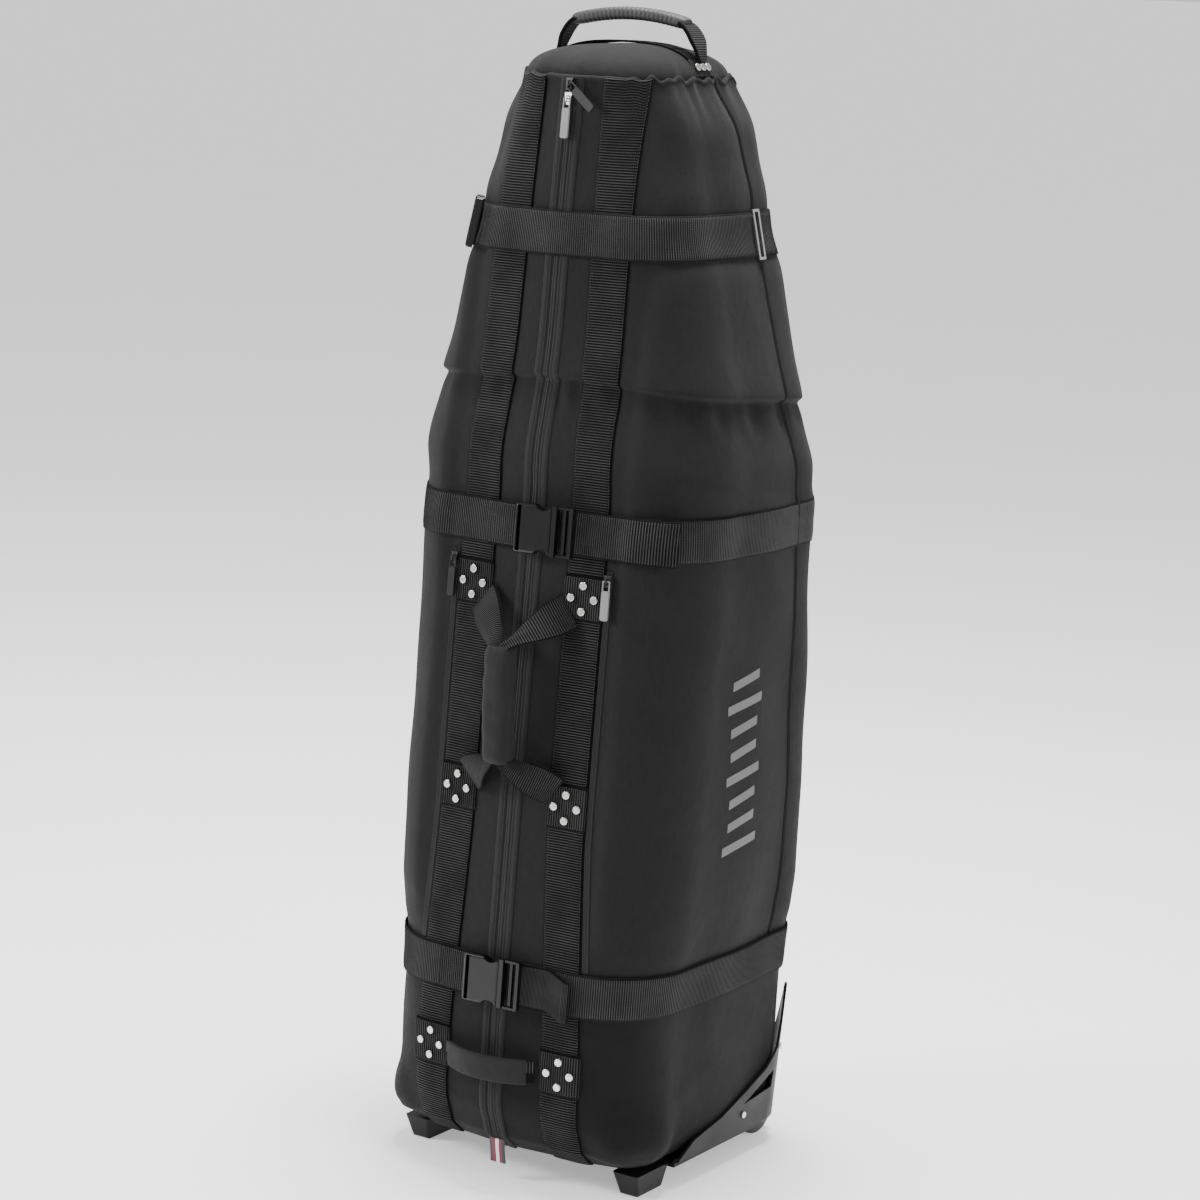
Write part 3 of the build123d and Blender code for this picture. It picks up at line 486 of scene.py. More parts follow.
def ribbed(name, dark, light, pitch, depth, half_width, roughness=0.7):
    """Webbing: ribs across it every pitch metres along V, plain selvedge at U = +-half_width, with
    painted highlights on the rib crests and a painted shadow line at the edges.
    """
    finish = Finish(name, light, roughness, Sheen_Weight=0.04, Sheen_Roughness=0.4,
                    Specular_IOR_Level=0.22)
    uv = finish.add("ShaderNodeSeparateXYZ", {0: finish.where("UV")})
    place = finish.where()
    rib = finish.math("COSINE", finish.math("MULTIPLY", uv.outputs[1], 2 * math.pi / pitch))
    yarn = finish.math("SINE", finish.math("MULTIPLY", uv.outputs[0], 2 * math.pi / 0.0016))
    from_middle = finish.math("ABSOLUTE", uv.outputs[0])
    edge = finish.span(from_middle, half_width - 0.0026, half_width - 0.0018, 1, 0)
    height = finish.total((finish.math("MULTIPLY", rib, edge), 1), (yarn, 0.3))
    grain = finish.noise(place, 1100, 2)
    # Uneven strength of the painted highlight on the rib crests, patchy along the webbing.
    scuffs_and_patchy_highlight = finish.span(finish.noise(place, 22, 4), 0.35, 0.65, 0.55, 1)
    # Painted highlight: the rib crests are coloured lighter, where light would catch them.
    crest_highlight = finish.math("MULTIPLY", finish.span(height, -0.2, 1.2, 0, 1), scuffs_and_patchy_highlight)
    shade = finish.total((finish.math("MULTIPLY", crest_highlight, edge), 1), (grain, 0.25))
    # Painted shade: the grooves between ribs and the outer two millimetres of each edge get the dark
    # colour, a painted shadow line along the strap.
    finish.set("Base Color", finish.ramp(shade, 0.1, 1.0, dark, light))
    # Painted shade and highlight in the reflection: the dark edge line and the grooves reflect less, the
    # crests more.
    finish.set("Specular IOR Level", finish.span(shade, 0.1, 1.0, 0.02, 0.30))
    finish.set("Roughness", finish.span(grain, 0.3, 0.7, roughness - 0.08, roughness + 0.08))
    finish.set("Normal", finish.bump(finish.total((height, 1), (grain, 0.8)), depth, 0.9))
    return finish.material


RIB, BAND_RIB = 0.0029, 0.0025
CLOTH = woven("body_cloth", grey(0.004), grey(0.012, 0.01), 0.00055, 0.00016)
# Painted shade: the base sleeve's cloth is a coarser copy of the body cloth. Its extra darkness is partly
# its own tone and partly painted shade for the dimmer light low on the case.
SHADED_BASE_CLOTH = woven("base_cloth_painted_shade", grey(0.0015), grey(0.005, -0.01), 0.0009, 0.0003, 0.72)
LINING = woven("strap_cloth", grey(0.006), grey(0.014), 0.0006, 0.00016)
WEBBING = ribbed("webbing", grey(0.002), grey(0.030), RIB, 0.00045, 0.024)
BAND_WEBBING = ribbed("band_webbing", grey(0.007), grey(0.040), BAND_RIB, 0.0004, 0.024)
GATHERED = ribbed("handle_webbing", grey(0.003), grey(0.034), RIB, 0.0005, 0.024)
TAPE = woven("zip_tape", grey(0.007), grey(0.016), 0.0005, 0.00015, 0.7, 0.05)
PAD_CLOTH = woven("grip_cloth", grey(0.007), grey(0.016), 0.0006, 0.0002, 0.7)
print("cloth finishes", len(bpy.data.materials))

# %% [markdown]
# ### Plastic, rubber and metal
# The buckles are glossy acetal with soft moulding swirls, the skids are the same black with a
# sandblasted grain and scuffs, and the rivets are nickel plated. All of these read object
# coordinates, because the hard parts carry no UV map.


# %% Hard finishes
def moulded(name, colour, roughness, grain, depth, scuff=0.0, **sockets):
    """Moulded plastic or rubber: a fine grain, slow swirls in gloss, and paler scuffs."""
    finish = Finish(name, colour, roughness, **sockets)
    place = finish.where()
    fine = finish.noise(place, grain, 2)
    slow = finish.noise(place, 30, 3)
    marks = finish.noise(finish.drawn(place, 6), 120, 5)
    pale = tuple(min(1, channel * 2.2 + 0.01) for channel in colour)
    scuffs_and_patchy_highlight = finish.span(marks, 0.58, 0.78, 0, scuff)
    finish.set("Base Color", finish.ramp(scuffs_and_patchy_highlight, 0, 1, colour, pale))
    gloss = finish.span(slow, 0.3, 0.7, roughness - 0.06, roughness + 0.07)
    finish.set("Roughness", finish.math("ADD", gloss, scuffs_and_patchy_highlight))
    finish.set("Normal", finish.bump(fine, depth, 0.6))
    return finish.material


def metal(name, colour, roughness, brushed=0.0):
    """Plated or brushed metal with light handling marks."""
    finish = Finish(name, colour, roughness, Metallic=1.0)
    place = finish.where()
    lines = finish.noise(finish.drawn(place, 1 + 40 * brushed), 260, 3)
    marks = finish.noise(place, 420, 4)
    dull = tuple(channel * 0.72 for channel in colour)
    finish.set("Base Color", finish.ramp(marks, 0.35, 0.62, dull, colour))
    finish.set("Roughness", finish.span(lines, 0.3, 0.7, roughness - 0.05, roughness + 0.12))
    finish.set("Normal", finish.bump(lines, 0.00006, 0.5))
    return finish.material


BUCKLE = moulded("buckle_plastic", grey(0.004), 0.20, 700, 0.00002, 0.03, Specular_IOR_Level=0.28)
SKID = moulded("skid_plastic", grey(0.006), 0.48, 900, 0.00018, 0.15, Specular_IOR_Level=0.25)
RUBBER = moulded("pull_rubber_grey", grey(0.16), 0.50, 500, 0.00006, 0.1)
RUBBER_BLACK = moulded("pull_rubber_black", grey(0.007), 0.42, 500, 0.00006, 0.1, Specular_IOR_Level=0.25)
SOFT_GRIP = moulded("soft_grip", grey(0.015), 0.62, 1500, 0.00025, 0.1)
TYRE = moulded("tyre_rubber", grey(0.018), 0.70, 600, 0.00015, 0.5)
HUB = moulded("hub_plastic", grey(0.035), 0.38, 700, 0.00004, 0.1)
BOARD = moulded("base_board", grey(0.03), 0.60, 300, 0.0001, 0.2)
FOAM = moulded("foam", grey(0.22), 0.95, 1200, 0.0006, 0.1)
NICKEL = metal("rivet_nickel", (0.60, 0.59, 0.57), 0.22)
RING = metal("ring_metal", (0.60, 0.60, 0.60), 0.28, 0.6)
ZIP_METAL = metal("slider_metal", (0.05, 0.05, 0.052), 0.32)
STEEL = metal("axle_steel", (0.50, 0.50, 0.51), 0.30, 0.4)
COIL = moulded("zip_coil", grey(0.007), 0.55, 900, 0.00005, 0.05, Specular_IOR_Level=0.25)
THREAD = moulded("stitch_thread", grey(0.016), 0.75, 1500, 0.00005, 0.1)
PRINT = moulded("reflective_print", grey(0.085), 0.55, 1400, 0.00008, 0.2)

CAD_FINISHES = {
    "rivets": NICKEL, "skid_screws": NICKEL, "strap_ring": RING, "axle_pins": STEEL,
    "main_slider": RING, "end_slider": ZIP_METAL, "pocket_slider_left": ZIP_METAL,
    "pocket_slider_right": ZIP_METAL, "main_pull": RUBBER, "end_pull": RUBBER_BLACK,
    "pocket_pull_left": RUBBER_BLACK, "pocket_pull_right": RUBBER, "base_board": BOARD,
}
for side in ("left", "right"):
    CAD_FINISHES[f"skid_{side}"] = SKID
    CAD_FINISHES[f"tyre_{side}"] = TYRE
    CAD_FINISHES[f"wheel_hub_{side}"] = HUB
    CAD_FINISHES[f"bearings_{side}"] = STEEL
for name in ("upper", "lower", "top"):
    for piece in ("buckle_socket", "buckle_plug", "prong_high", "prong_low"):
        CAD_FINISHES[f"{name}_{piece}"] = BUCKLE
for node, material in CAD_FINISHES.items():
    NODES[node].data.materials.clear()
    NODES[node].data.materials.append(material)
print("finished", len(CAD_FINISHES), "hard parts")

# %% [markdown]
# ## The padded panels
# On the real bag six panels meet at the zip, at the waist and at a welt down each back corner.
# They could be one tube, but panels that end in real seams show the sewing. Each is a grid laid on
# the cloth function between two places round the bag, with its rows packed tighter at the fold.

# %% Six panels
WALL = 4.6
BACK_SEAM = 70.0
ZIP_EDGE = 5.0
SEAM_DIP = 2.2


def seam_dip(u, width):
    """The cloth turns in where a panel ends in a seam."""
    return -SEAM_DIP * (np.exp(-(u * width / 3.5)) + np.exp(-((1 - u) * width / 3.5)))


def panel(name, z_knots, columns, rows, side, node):
    """One panel: side 1 is right, -1 left, 0 the back."""
    shares = np.linspace(0, 1, len(z_knots)) if len(z_knots) == 2 else np.array([0, 0.24, 0.56, 1])

    def ends(z):
        seam = s_of_y(level(z)[2] - BACK_SEAM, z)
        zip_edge = s_of_x(np.full_like(z, ZIP_EDGE), z)
        if side > 0:
            return zip_edge, seam
        if side < 0:
            return -seam, -zip_edge
        return seam, 2 - seam

    def place(u, v):
        z = np.interp(v, shares, z_knots)
        start, end = ends(z)
        width = (end - start) * sum(lengths(z))
        return cloth_point(start + u * (end - start), z, seam_dip(u, width))

    def size(u, v):
        z = np.interp(v, shares, z_knots)
        start, end = ends(z)
        return (start + u * (end - start)) * sum(lengths(z)) * MM, z * MM

    obj = sheet_of(name, columns, rows, place, size, WALL)
    fasten(obj, "bag", "body_fabric", CLOTH, node)
    z = np.linspace(z_knots[0], z_knots[-1], 60)
    start, end = ends(z)
    (end - start) * sum(lengths(z))


LOWER_KNOTS, UPPER_KNOTS = (LOWER_SEAM, WAIST), (WAIST, 838.0, 902.0, RIM - 1)
for side, word in ((-1, "left"), (1, "right"), (0, "back")):
    panel(f"lower_{word}_cloth", LOWER_KNOTS, 90 if side else 70, 110, side, f"lower_{word}_panel")
    panel(f"upper_{word}_cloth", UPPER_KNOTS, 90 if side else 70, 150, side, f"upper_{word}_panel")

# %% [markdown]
# ### Back welts
# The seam between side and back is bound with a corded welt, a thin roll that stands off the
# corner. It is a narrow strip whose middle is lifted into a half round.

# %% Two welts
WELT = 6.0
WELT_ENDS = (LOWER_SEAM + WEB / 2, RIM - 2)


def welt(side):
    """Corded strip down one back corner: side 1 is right, -1 left."""
    low, high = WELT_ENDS

    def place(u, v):
        z = low + v * (high - low)
        middle = side * s_of_y(level(z)[2] - BACK_SEAM, z)
        s = middle + (u - 0.5) * WELT / sum(lengths(z))
        return cloth_point(s, z, -1.6 + 3.6 * np.sin(math.pi * u) ** 0.6)

    return sheet_of("welt", 7, 260, place, plain_size(WELT * MM, (RIM - LOWER_SEAM) * MM), 1.0, 80)


fasten(joined("back_welts", [welt(1), welt(-1)]), "bag", "body_fabric", LINING)

# %% [markdown]
# ## The base sleeve
# Below the lower strap the bag has a tougher, coarser sleeve with a floor. It is a tube laid on
# the same function, closed underneath, and the wheel wells are cut from it with a Boolean
# modifier, as the real sleeve is cut round the moulded wells.

# %% Sleeve with wheel wells
WELL_X, WELL_Y, WELL_TOP = (118.4, 158.0), 102.4, 71.6
CORNER = 14.0
FLOOR_SHARE = 0.14
CUTTER = 120.0


def sleeve_place(u, v):
    """The first rows close the floor, and the rest go up the wall."""
    wall = np.clip((v - FLOOR_SHARE) / (1 - FLOOR_SHARE), 0, 1)
    z = BOTTOM + wall * (LOWER_SEAM - BOTTOM)
    s = u * 2 - 1
    x, y = bare(s, z)[:, 0], bare(s, z)[:, 1]
    bulge = CORNER * np.exp(-((z - 64) / 26) ** 2) * smooth(112, 145, np.abs(x)) * smooth(-60, -105, y)
    point = cloth_point(s, z, bulge, smooth(60, 130, z))
    middle = np.array([0, SHIFT + 10 * MM, BOTTOM * MM])
    inward = np.clip((FLOOR_SHARE - v) / FLOOR_SHARE, 0, 1)[:, None]
    floor = middle + (point - middle) * (1 - inward)
    return np.where(v[:, None] < FLOOR_SHARE, floor, point)


def sleeve_size(u, v):
    return (u * 2 - 1) * sum(lengths(100.0)) * MM, v * 0.24


sleeve = sheet_of("base_sleeve", 240, 70, sleeve_place, sleeve_size, 4.0)
cutters = []
for side in (-1, 1):
    x = side * sum(WELL_X) / 2
    cutter = fresh(bpy.ops.mesh.primitive_cube_add, size=1,
                   location=(x * MM, SHIFT + (WELL_Y + CUTTER / 2) * MM, (WELL_TOP - CUTTER / 2) * MM),
                   scale=((WELL_X[1] - WELL_X[0] + 0.8) * MM, CUTTER * MM, CUTTER * MM))
    cutters.append(cutter)
    apply(sleeve, "BOOLEAN", operation="DIFFERENCE", object=cutter, solver="EXACT")
for cutter in cutters:
    bpy.data.objects.remove(cutter)
smoothed(sleeve)
fasten(sleeve, "bag", "base_fabric", SHADED_BASE_CLOTH, "base_tray")

# %% [markdown]
# ## The domed top
# The top is a padded cap that comes up from inside the gathered rim. Its profile is a
# superellipse: nearly flat on top, turning down quickly at the shoulder. A separate rolled rim
# hides the raw edge of the side panels.

# %% Cap and rim
CAP_INSET, CAP_POWER, CAP_MIDDLE, RIM_HALF = 2.0, 2.6, 12.0, 98.0
CAP_FOOT, CAP_RISE = RIM - 6, DOME_TOP - RIM + 4.4


def cap_place(u, v):
    turn = v * math.pi / 2
    rise = np.sin(turn) ** (2 / CAP_POWER)
    share = np.cos(turn) ** (2 / CAP_POWER)
    rim = bare(u * 2 - 1, np.full_like(u, RIM))
    middle = np.array([0, CAP_MIDDLE, RIM])
    point = middle + (rim - middle) * (share * (1 - CAP_INSET / RIM_HALF))[:, None]
    ripple = 0.9 * gathers(np.arctan2(point[:, 0], CAP_MIDDLE - point[:, 1])) * share
    sag = 1.2 * np.sin(point[:, 0] / 31) * np.cos(point[:, 1] / 37) * smooth(0, 0.4, v)
    point[:, 2] = CAP_FOOT + CAP_RISE * rise + sag
    point[:, :2] *= (1 + ripple / RIM_HALF)[:, None]
    return placed(point)


cap = sheet_of("dome_cap", 160, 40, cap_place, plain_size(0.62, 0.13), 4.0)
fasten(cap, "bag", "body_fabric", CLOTH, "top_cap")


def rim_place(u, v):
    turn = (v - 0.15) * 1.25 * math.pi
    edge = cloth_point(u * 2 - 1, np.full_like(u, RIM - 3.0), -2.4 + 3.4 * np.cos(turn))
    edge[:, 2] += 4.6 * np.sin(turn) * MM
    return edge


rim = sheet_of("rolled_rim", 240, 14, rim_place, plain_size(0.62, 0.02), 1.2)
fasten(rim, "bag", "body_fabric", CLOTH)


def cap_height(x, y):
    """Height of the cap's top over a point near its long middle line."""
    reach = np.clip(np.hypot(x, y - CAP_MIDDLE) / (RIM_HALF - CAP_INSET), 0, 1)
    return CAP_FOOT + CAP_RISE * (1 - reach ** CAP_POWER) ** (1 / CAP_POWER)


TOP_Y, ACROSS_HALF, RIB_LIFT = 22.0, 85.0, 0.2


def across_place(u, v):
    x = ACROSS_HALF * np.sin((u - 0.5) * math.pi)
    y = TOP_Y + (v - 0.5) * WEB * 0.7
    ribs = RIB_LIFT * np.cos(2 * math.pi * x / (RIB / MM))
    return placed(np.stack([x, y, cap_height(x, y) + 3.0 + ribs], -1))


across = sheet_of("dome_webbing", 240, 8, across_place, web_size(0.2, True), 2.0, 180)
fasten(across, "bag", "webbing", WEBBING)

# %% [markdown]
# ## Webbing on the bag
# Three bands go right round and two strips run down the front. Their ribs are real here: rows of
# points three to a rib, alternately lifted, so the webbing still looks woven with no material.

# %% Front strips
STRIP_SPINE = [(0, 86), (150, 86), (400, 72), (700, 72), (RIM, 60)]
ROUNDING = 10
# how far the outer faces of strips, bands, patches and tabs stand off the cloth
STRIP_LIFT, BAND_LIFT, PATCH_LIFT, TAB_LIFT = 1.6, 3.8, 3.5, 5.6


def strip_x(z):
    """Middle line of the right front strip."""
    heights, across = zip(*STRIP_SPINE)
    return sum(np.interp(z + step, heights, across) for step in (-30, -10, 10, 30)) / 4


def front_strip(side):
    """Webbing down the front: side 1 is right, -1 left."""
    low, high = SOLE, RIM - 1
    rows = round((high - low) / (RIB / MM) * 3)

    def place(u, v):
        z = low + v * (high - low)
        x = side * strip_x(z) + (u - 0.5) * WEB
        ribs = RIB_LIFT * np.cos(2 * math.pi * z / (RIB / MM))
        return on_front(x, z, STRIP_LIFT + ribs - 0.6 * np.abs(2 * u - 1) ** ROUNDING)

    return sheet_of("strip", 8, rows, place, web_size((high - low) * MM), 1.4, 180)


strips = joined("front_strips", [front_strip(-1), front_strip(1)])
fasten(strips, "bag", "webbing", WEBBING, "webbing_strips")


# %% Bands round the bag
def band(name, z_mid, node):
    """Strap right round the bag."""
    girth = 2 * float(sum(lengths(z_mid)))
    columns = round(girth / (BAND_RIB / MM)) * 3

    def place(u, v):
        z = z_mid + (v - 0.5) * WEB
        s = u * 2 - 1
        ribs = RIB_LIFT * np.cos(2 * math.pi * u * columns / 3)
        return cloth_point(s, z, BAND_LIFT + ribs - 0.6 * np.abs(2 * v - 1) ** ROUNDING, 0.75)

    obj = sheet_of(name, columns, 8, place, web_size(girth * MM, True), 1.6, 180)
    return fasten(obj, "bag", "webbing", BAND_WEBBING, node)


for name, z_mid, node in (("lower_webbing_band", LOWER_Z, "lower_band"),
                          ("upper_webbing_band", UPPER_Z, "upper_band"),
                          ("top_webbing_strap", TOP_Z, "top_strap")):
    band(name, z_mid, node)

# %% [markdown]
# ## The zips
# The main zip is a coil zip between two folded flaps: flap, groove, ridge, slit, ridge, groove,
# flap. One profile across the zip, swept down the bag, shows all of it. The coil's turns are
# points lifted two millimetres apart.

# %% Main zip and pocket zips
TAPE_PROFILE = [(-15, 0.4), (-13.6, 1.5), (-12, 1.7), (-8.4, 1.7), (-7.6, 1.2),
                (-7.0, 1.7), (-5.4, 1.5), (-5.0, 0.7), (-3.4, 0.5)]
COIL_PROFILE = [(-3.1, 0.5), (-2.6, 1.3), (-1.9, 1.75), (-1.1, 1.75), (-0.5, 1.35), (0, 0.7)]


def strip_down(name, profile, centre, low, high, rows, wave=0.0, thick=0.5):
    """Strip down the front with a profile of (across, lift) about centre(z)."""
    across, lifts = (np.array(values, float) for values in zip(*profile))

    def place(u, v):
        z = low + v * (high - low)
        column = u * (len(profile) - 1)
        offset = np.interp(column, range(len(profile)), across)
        lift = np.interp(column, range(len(profile)), lifts)
        tooth = wave * (0.5 + 0.5 * np.cos(math.pi * z)) * (lift > 1.2)
        return on_front(centre(z) + offset, z, lift - tooth)

    size = plain_size((across[-1] - across[0]) * MM, (high - low) * MM)
    return sheet_of(name, len(profile) - 1, rows, place, size, thick, 70)


def mirrored(profile):
    """The same profile from right to left."""
    return [(-across, lift) for across, lift in reversed(profile)]


def whole(half):
    """A profile with its other half, from its left edge to its middle and on to its right edge."""
    return half + mirrored(half)[1:]


def midline(z):
    return 0 * z


tapes = [strip_down("tape", profile, midline, SOLE, RIM - 1, 260)
         for profile in (TAPE_PROFILE, mirrored(TAPE_PROFILE))]
fasten(joined("zip_tapes", tapes), "bag", "zip_tape", TAPE, "main_zip_tapes")
coil = strip_down("zip_coil_main", whole(COIL_PROFILE), midline, SOLE, RIM - 1, 2346, 0.45, 0.4)
fasten(coil, "bag", "zip_coil", COIL, "main_zip_coil")

POCKET_OFFSET, POCKET_Z = 28.7, (LOWER_Z + WEB / 2 + 2, UPPER_Z - WEB / 2 - 12)
POCKET_PROFILE = [(-3.5, 0.5), (-3.0, 1.3), (-2.0, 1.3), (-1.7, 0.7), (-1.0, 1.5), (-0.4, 1.5), (0, 0.9)]


def pocket_zip(side):
    """Closed zip beside the outer edge of a front strip."""
    def centre(z):
        return side * (strip_x(z) + POCKET_OFFSET)

    return strip_down("pocket", whole(POCKET_PROFILE), centre, *POCKET_Z, 400)


pockets = [pocket_zip(-1), pocket_zip(1)]
fasten(joined("pocket_zip_pair", pockets), "bag", "zip_coil", COIL, "pocket_zips")

# %% [markdown]
# ## Patches, tabs and tails
# The handles end in webbing squares, held by four rivets each. Beside the two front buckles the
# webbing ends: a short tab sewn down with a crossed box on one side, and the loose tail of the
# strap on the other.

# %% Anchor patches
PATCH = 49.0
PATCH_SPOTS = [(72.0, 660.0), (72.0, 434.0), (86.0, 142.0)]


def flat_patch(name, x_range, z_range, top, thick):
    """Webbing on the front with upright ribs, between two x and two z, its outer face at height top."""
    (x0, x1), (z0, z1) = x_range, z_range
    columns = round((x1 - x0) / (RIB / MM / 3))

    def place(u, v):
        x, z = x0 + u * (x1 - x0), z0 + v * (z1 - z0)
        edge = np.abs(2 * u - 1) ** ROUNDING + np.abs(2 * v - 1) ** ROUNDING
        ribs = RIB_LIFT * np.cos(2 * math.pi * x / (RIB / MM))
        return on_front(x, z, top + ribs - 0.4 * edge)

    def size(u, v):
        return (v - 0.5) * (z1 - z0) * MM, u * (x1 - x0) * MM

    return sheet_of(name, columns, 8, place, size, thick, 180)


patches = []
for x, z in PATCH_SPOTS:
    for side in (-1, 1):
        x_range = (side * x - PATCH / 2, side * x + PATCH / 2)
        patches.append(flat_patch("patch", x_range, (z - PATCH / 2, z + PATCH / 2), PATCH_LIFT, 1.6))
SHOULDER_LINE = np.array([(97.0, RIM + 2), (86.0, RIM + 21)])
FOOT_PAD = (22.0, 34.0, 1.8)


def foot_pad(side):
    """Small webbing square under one foot of the top handle, on the cap's shoulder."""
    middle = SHOULDER_LINE.mean(0)
    down = (SHOULDER_LINE[0] - SHOULDER_LINE[1]) / np.hypot(*(SHOULDER_LINE[0] - SHOULDER_LINE[1]))
    out = np.array([-down[1], down[0]])

    def place(u, v):
        along, lift = (u - 0.5) * FOOT_PAD[0], 0.6 + 0.5 * RIB_LIFT * np.cos(2 * math.pi * v * 12)
        x = middle[0] + down[0] * along + out[0] * lift
        z = middle[1] + down[1] * along + out[1] * lift
        return placed(np.stack([side * x, TOP_Y + (v - 0.5) * FOOT_PAD[1] * side, z], -1))

    return sheet_of("pad", 8, 36, place, web_size(FOOT_PAD[1] * MM), FOOT_PAD[2], 180)


patches += [foot_pad(-1), foot_pad(1)]
fasten(joined("rivet_patches", patches), "bag", "webbing", WEBBING, "anchor_patches")

# %% Tabs and tails
UPPER_TAB, UPPER_TAIL = (-57.0, -11.0), (42.0, 160.0)
LOWER_TAB, LOWER_TAIL = (-79.0, -33.0), (20.0, 97.0)
ends = []
for (x0, x1), z in ((UPPER_TAB, UPPER_Z), (LOWER_TAB, LOWER_Z)):
    ends.append(flat_patch("end", (x0, x1), (z - WEB / 2, z + WEB / 2), TAB_LIFT, 1.4))


def tail(x_range, z_mid, droop, flare):
    """Loose end of a strap: it lies on its band, then lifts and droops, and its hem is turned over."""
    def place(u, v):
        z = z_mid + (v - 0.5) * WEB
        start, end = (s_of_x(np.full_like(z, x), z) for x in x_range)
        loose = smooth(0.55, 1, u)
        ribs = RIB_LIFT * np.cos(2 * math.pi * u * 48)
        hem, selvedge = 1.8 * smooth(0.88, 0.9, u), 0.4 * np.abs(2 * v - 1) ** ROUNDING
        lift = TAB_LIFT + ribs + flare * loose + hem - selvedge
        return cloth_point(start + u * (end - start), z - droop * loose, lift)

    return sheet_of("end", 180, 8, place, web_size(0.138, True), 1.6, 180)


ends += [tail(UPPER_TAIL, UPPER_Z, 2.0, 5.0), tail(LOWER_TAIL, LOWER_Z, 8.0, 6.0)]
fasten(joined("tabs_and_tails", ends), "bag", "webbing", GATHERED, "strap_ends")

# %% [markdown]
# ## Handles
# The haul handle is two loops of webbing, each from an upper to a lower patch, gathered and
# wrapped together in a padded sleeve. Each leg is a ribbon: a centre line that leaves the patch
# flat against the bag and turns into the grip, with the webbing folding in on itself as it goes.


# %% A ribbon along a curve
def hermite(start, end, leave, arrive, t):
    """Points of a smooth curve with given ends and end directions."""
    t = t[:, None]
    at_start, at_end = 2 * t ** 3 - 3 * t ** 2 + 1, 3 * t ** 2 - 2 * t ** 3
    leaving, arriving = t ** 3 - 2 * t ** 2 + t, t ** 3 - t ** 2
    line = at_start * np.array(start) + at_end * np.array(end)
    return line + leaving * np.array(leave) + arriving * np.array(arrive)


def unit(vectors):
    """The same directions with length one."""
    return vectors / np.linalg.norm(vectors, axis=-1, keepdims=True)


HAUL_Y, HAUL_LOW, HAUL_HIGH, LEG_START = -186.0, 478.0, 606.0, 15.0


def bag_front(x, z, lift):
    """One point of the front in millimetres in the bag's own frame."""
    return on_front(np.array([x]), np.array([z]), lift)[0] / MM - [0, SHIFT / MM, 0]


def haul_leg(side, top):
    """One leg, from its patch to the grip."""
    patch_z = PATCH_SPOTS[0][1] if top else PATCH_SPOTS[1][1]
    grip_z, way = (HAUL_HIGH - 4, 1) if top else (HAUL_LOW + 4, -1)
    x0, z0 = side * (PATCH_SPOTS[0][0] - LEG_START), patch_z - way * LEG_START
    start, end = bag_front(x0, z0, 5.2), (side * 5.0, HAUL_Y, grip_z)
    leave, arrive = (-side * 40, -30, -way * 30), (-side * 30, -6, -way * 40)

    def place(u, v):
        centre = hermite(start, end, leave, arrive, v)
        ahead = unit(hermite(start, end, leave, arrive, np.minimum(v + 0.01, 1.01)) - centre)
        turn = smooth(0.0, 1.0, v)[:, None]
        slant, edge_on = np.array([-side * way, 0, 1.0]), np.array([-side * way * 0.3, 0.9, 0.5])
        across = unit(slant * (1 - turn) + edge_on * turn)
        across = unit(across - ahead * (across * ahead).sum(1, keepdims=True))
        out = unit(np.cross(across, ahead)) * side
        width = (21 - 12 * smooth(0.15, 0.95, v))[:, None]
        q = (2 * u - 1)[:, None]
        curl = 7.0 * smooth(0.25, 1.0, v)[:, None]
        wave = 1.2 * np.sin(q * 7 + 2 * side) * smooth(0.3, 1, v)[:, None]
        return placed(centre + across * q * width + out * (curl * (1 - q * q) - 1 + wave))

    obj = sheet_of("leg", 16, 150, place, web_size(0.09), 0, 180)
    apply(obj, "SOLIDIFY", thickness=1.6 * MM, offset=0)
    obj.name = obj.data.name = f"haul_leg_{'right' if side > 0 else 'left'}_{'high' if top else 'low'}"
    return obj, np.array(start), np.array(end)


for side in (-1, 1):
    for top in (True, False):
        leg, start, end = haul_leg(side, top)
        leg.data.materials.clear()
        leg.data.materials.append(GATHERED)
        offset = np.array([0, SHIFT / MM, 0])
        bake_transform(leg)
        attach(leg, "bag")
        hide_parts("haul_webbing")
        print(leg.name, len(leg.data.polygons), "faces")


# %% [markdown]
# ### Padded grips
# The haul grip is a foam pad wrapped round the webbing, closed with a flap along one side, so its
# section is a rounded square with an overlap step. The grab handle is a flat padded sleeve.

# %% Haul grip
def tube_place(centre_of, radius_of):
    """Placing function of a closed tube: centre_of(v) and frame, radius_of(turn, v)."""
    def place(u, v):
        centre, side_way, up_way = centre_of(v)
        turn = u * 2 * math.pi
        wide, high = radius_of(turn, v)
        sideways = side_way * (wide * np.sin(turn))[:, None]
        return placed(centre + sideways + up_way * (high * np.cos(turn))[:, None])
    return place


def squared(turn, power):
    """Reach of a rounded square with half side 1: the higher the power, the sharper its corners."""
    return (np.abs(np.cos(turn)) ** power + np.abs(np.sin(turn)) ** power) ** (-1 / power)


def drawn_in(v, depth, sharpness):
    """Share that narrows a tube towards both of its ends."""
    return 1 - depth * np.exp(-v * sharpness) - depth * np.exp(-(1 - v) * sharpness)


def capped(name, columns, rows, place, size):
    """Closed tube: its two ends are filled with a fan of faces."""
    obj = sheet_of(name, columns, rows, place, size, 0, 60)
    only(obj)
    bpy.ops.object.mode_set(mode="EDIT")
    bpy.ops.mesh.select_all(action="DESELECT")
    bpy.ops.mesh.select_non_manifold()
    bpy.ops.mesh.edge_face_add()
    bpy.ops.mesh.select_all(action="SELECT")
    bpy.ops.mesh.normals_make_consistent(inside=False)
    bpy.ops.object.mode_set(mode="OBJECT")
    smoothed(obj, 60)
    return obj


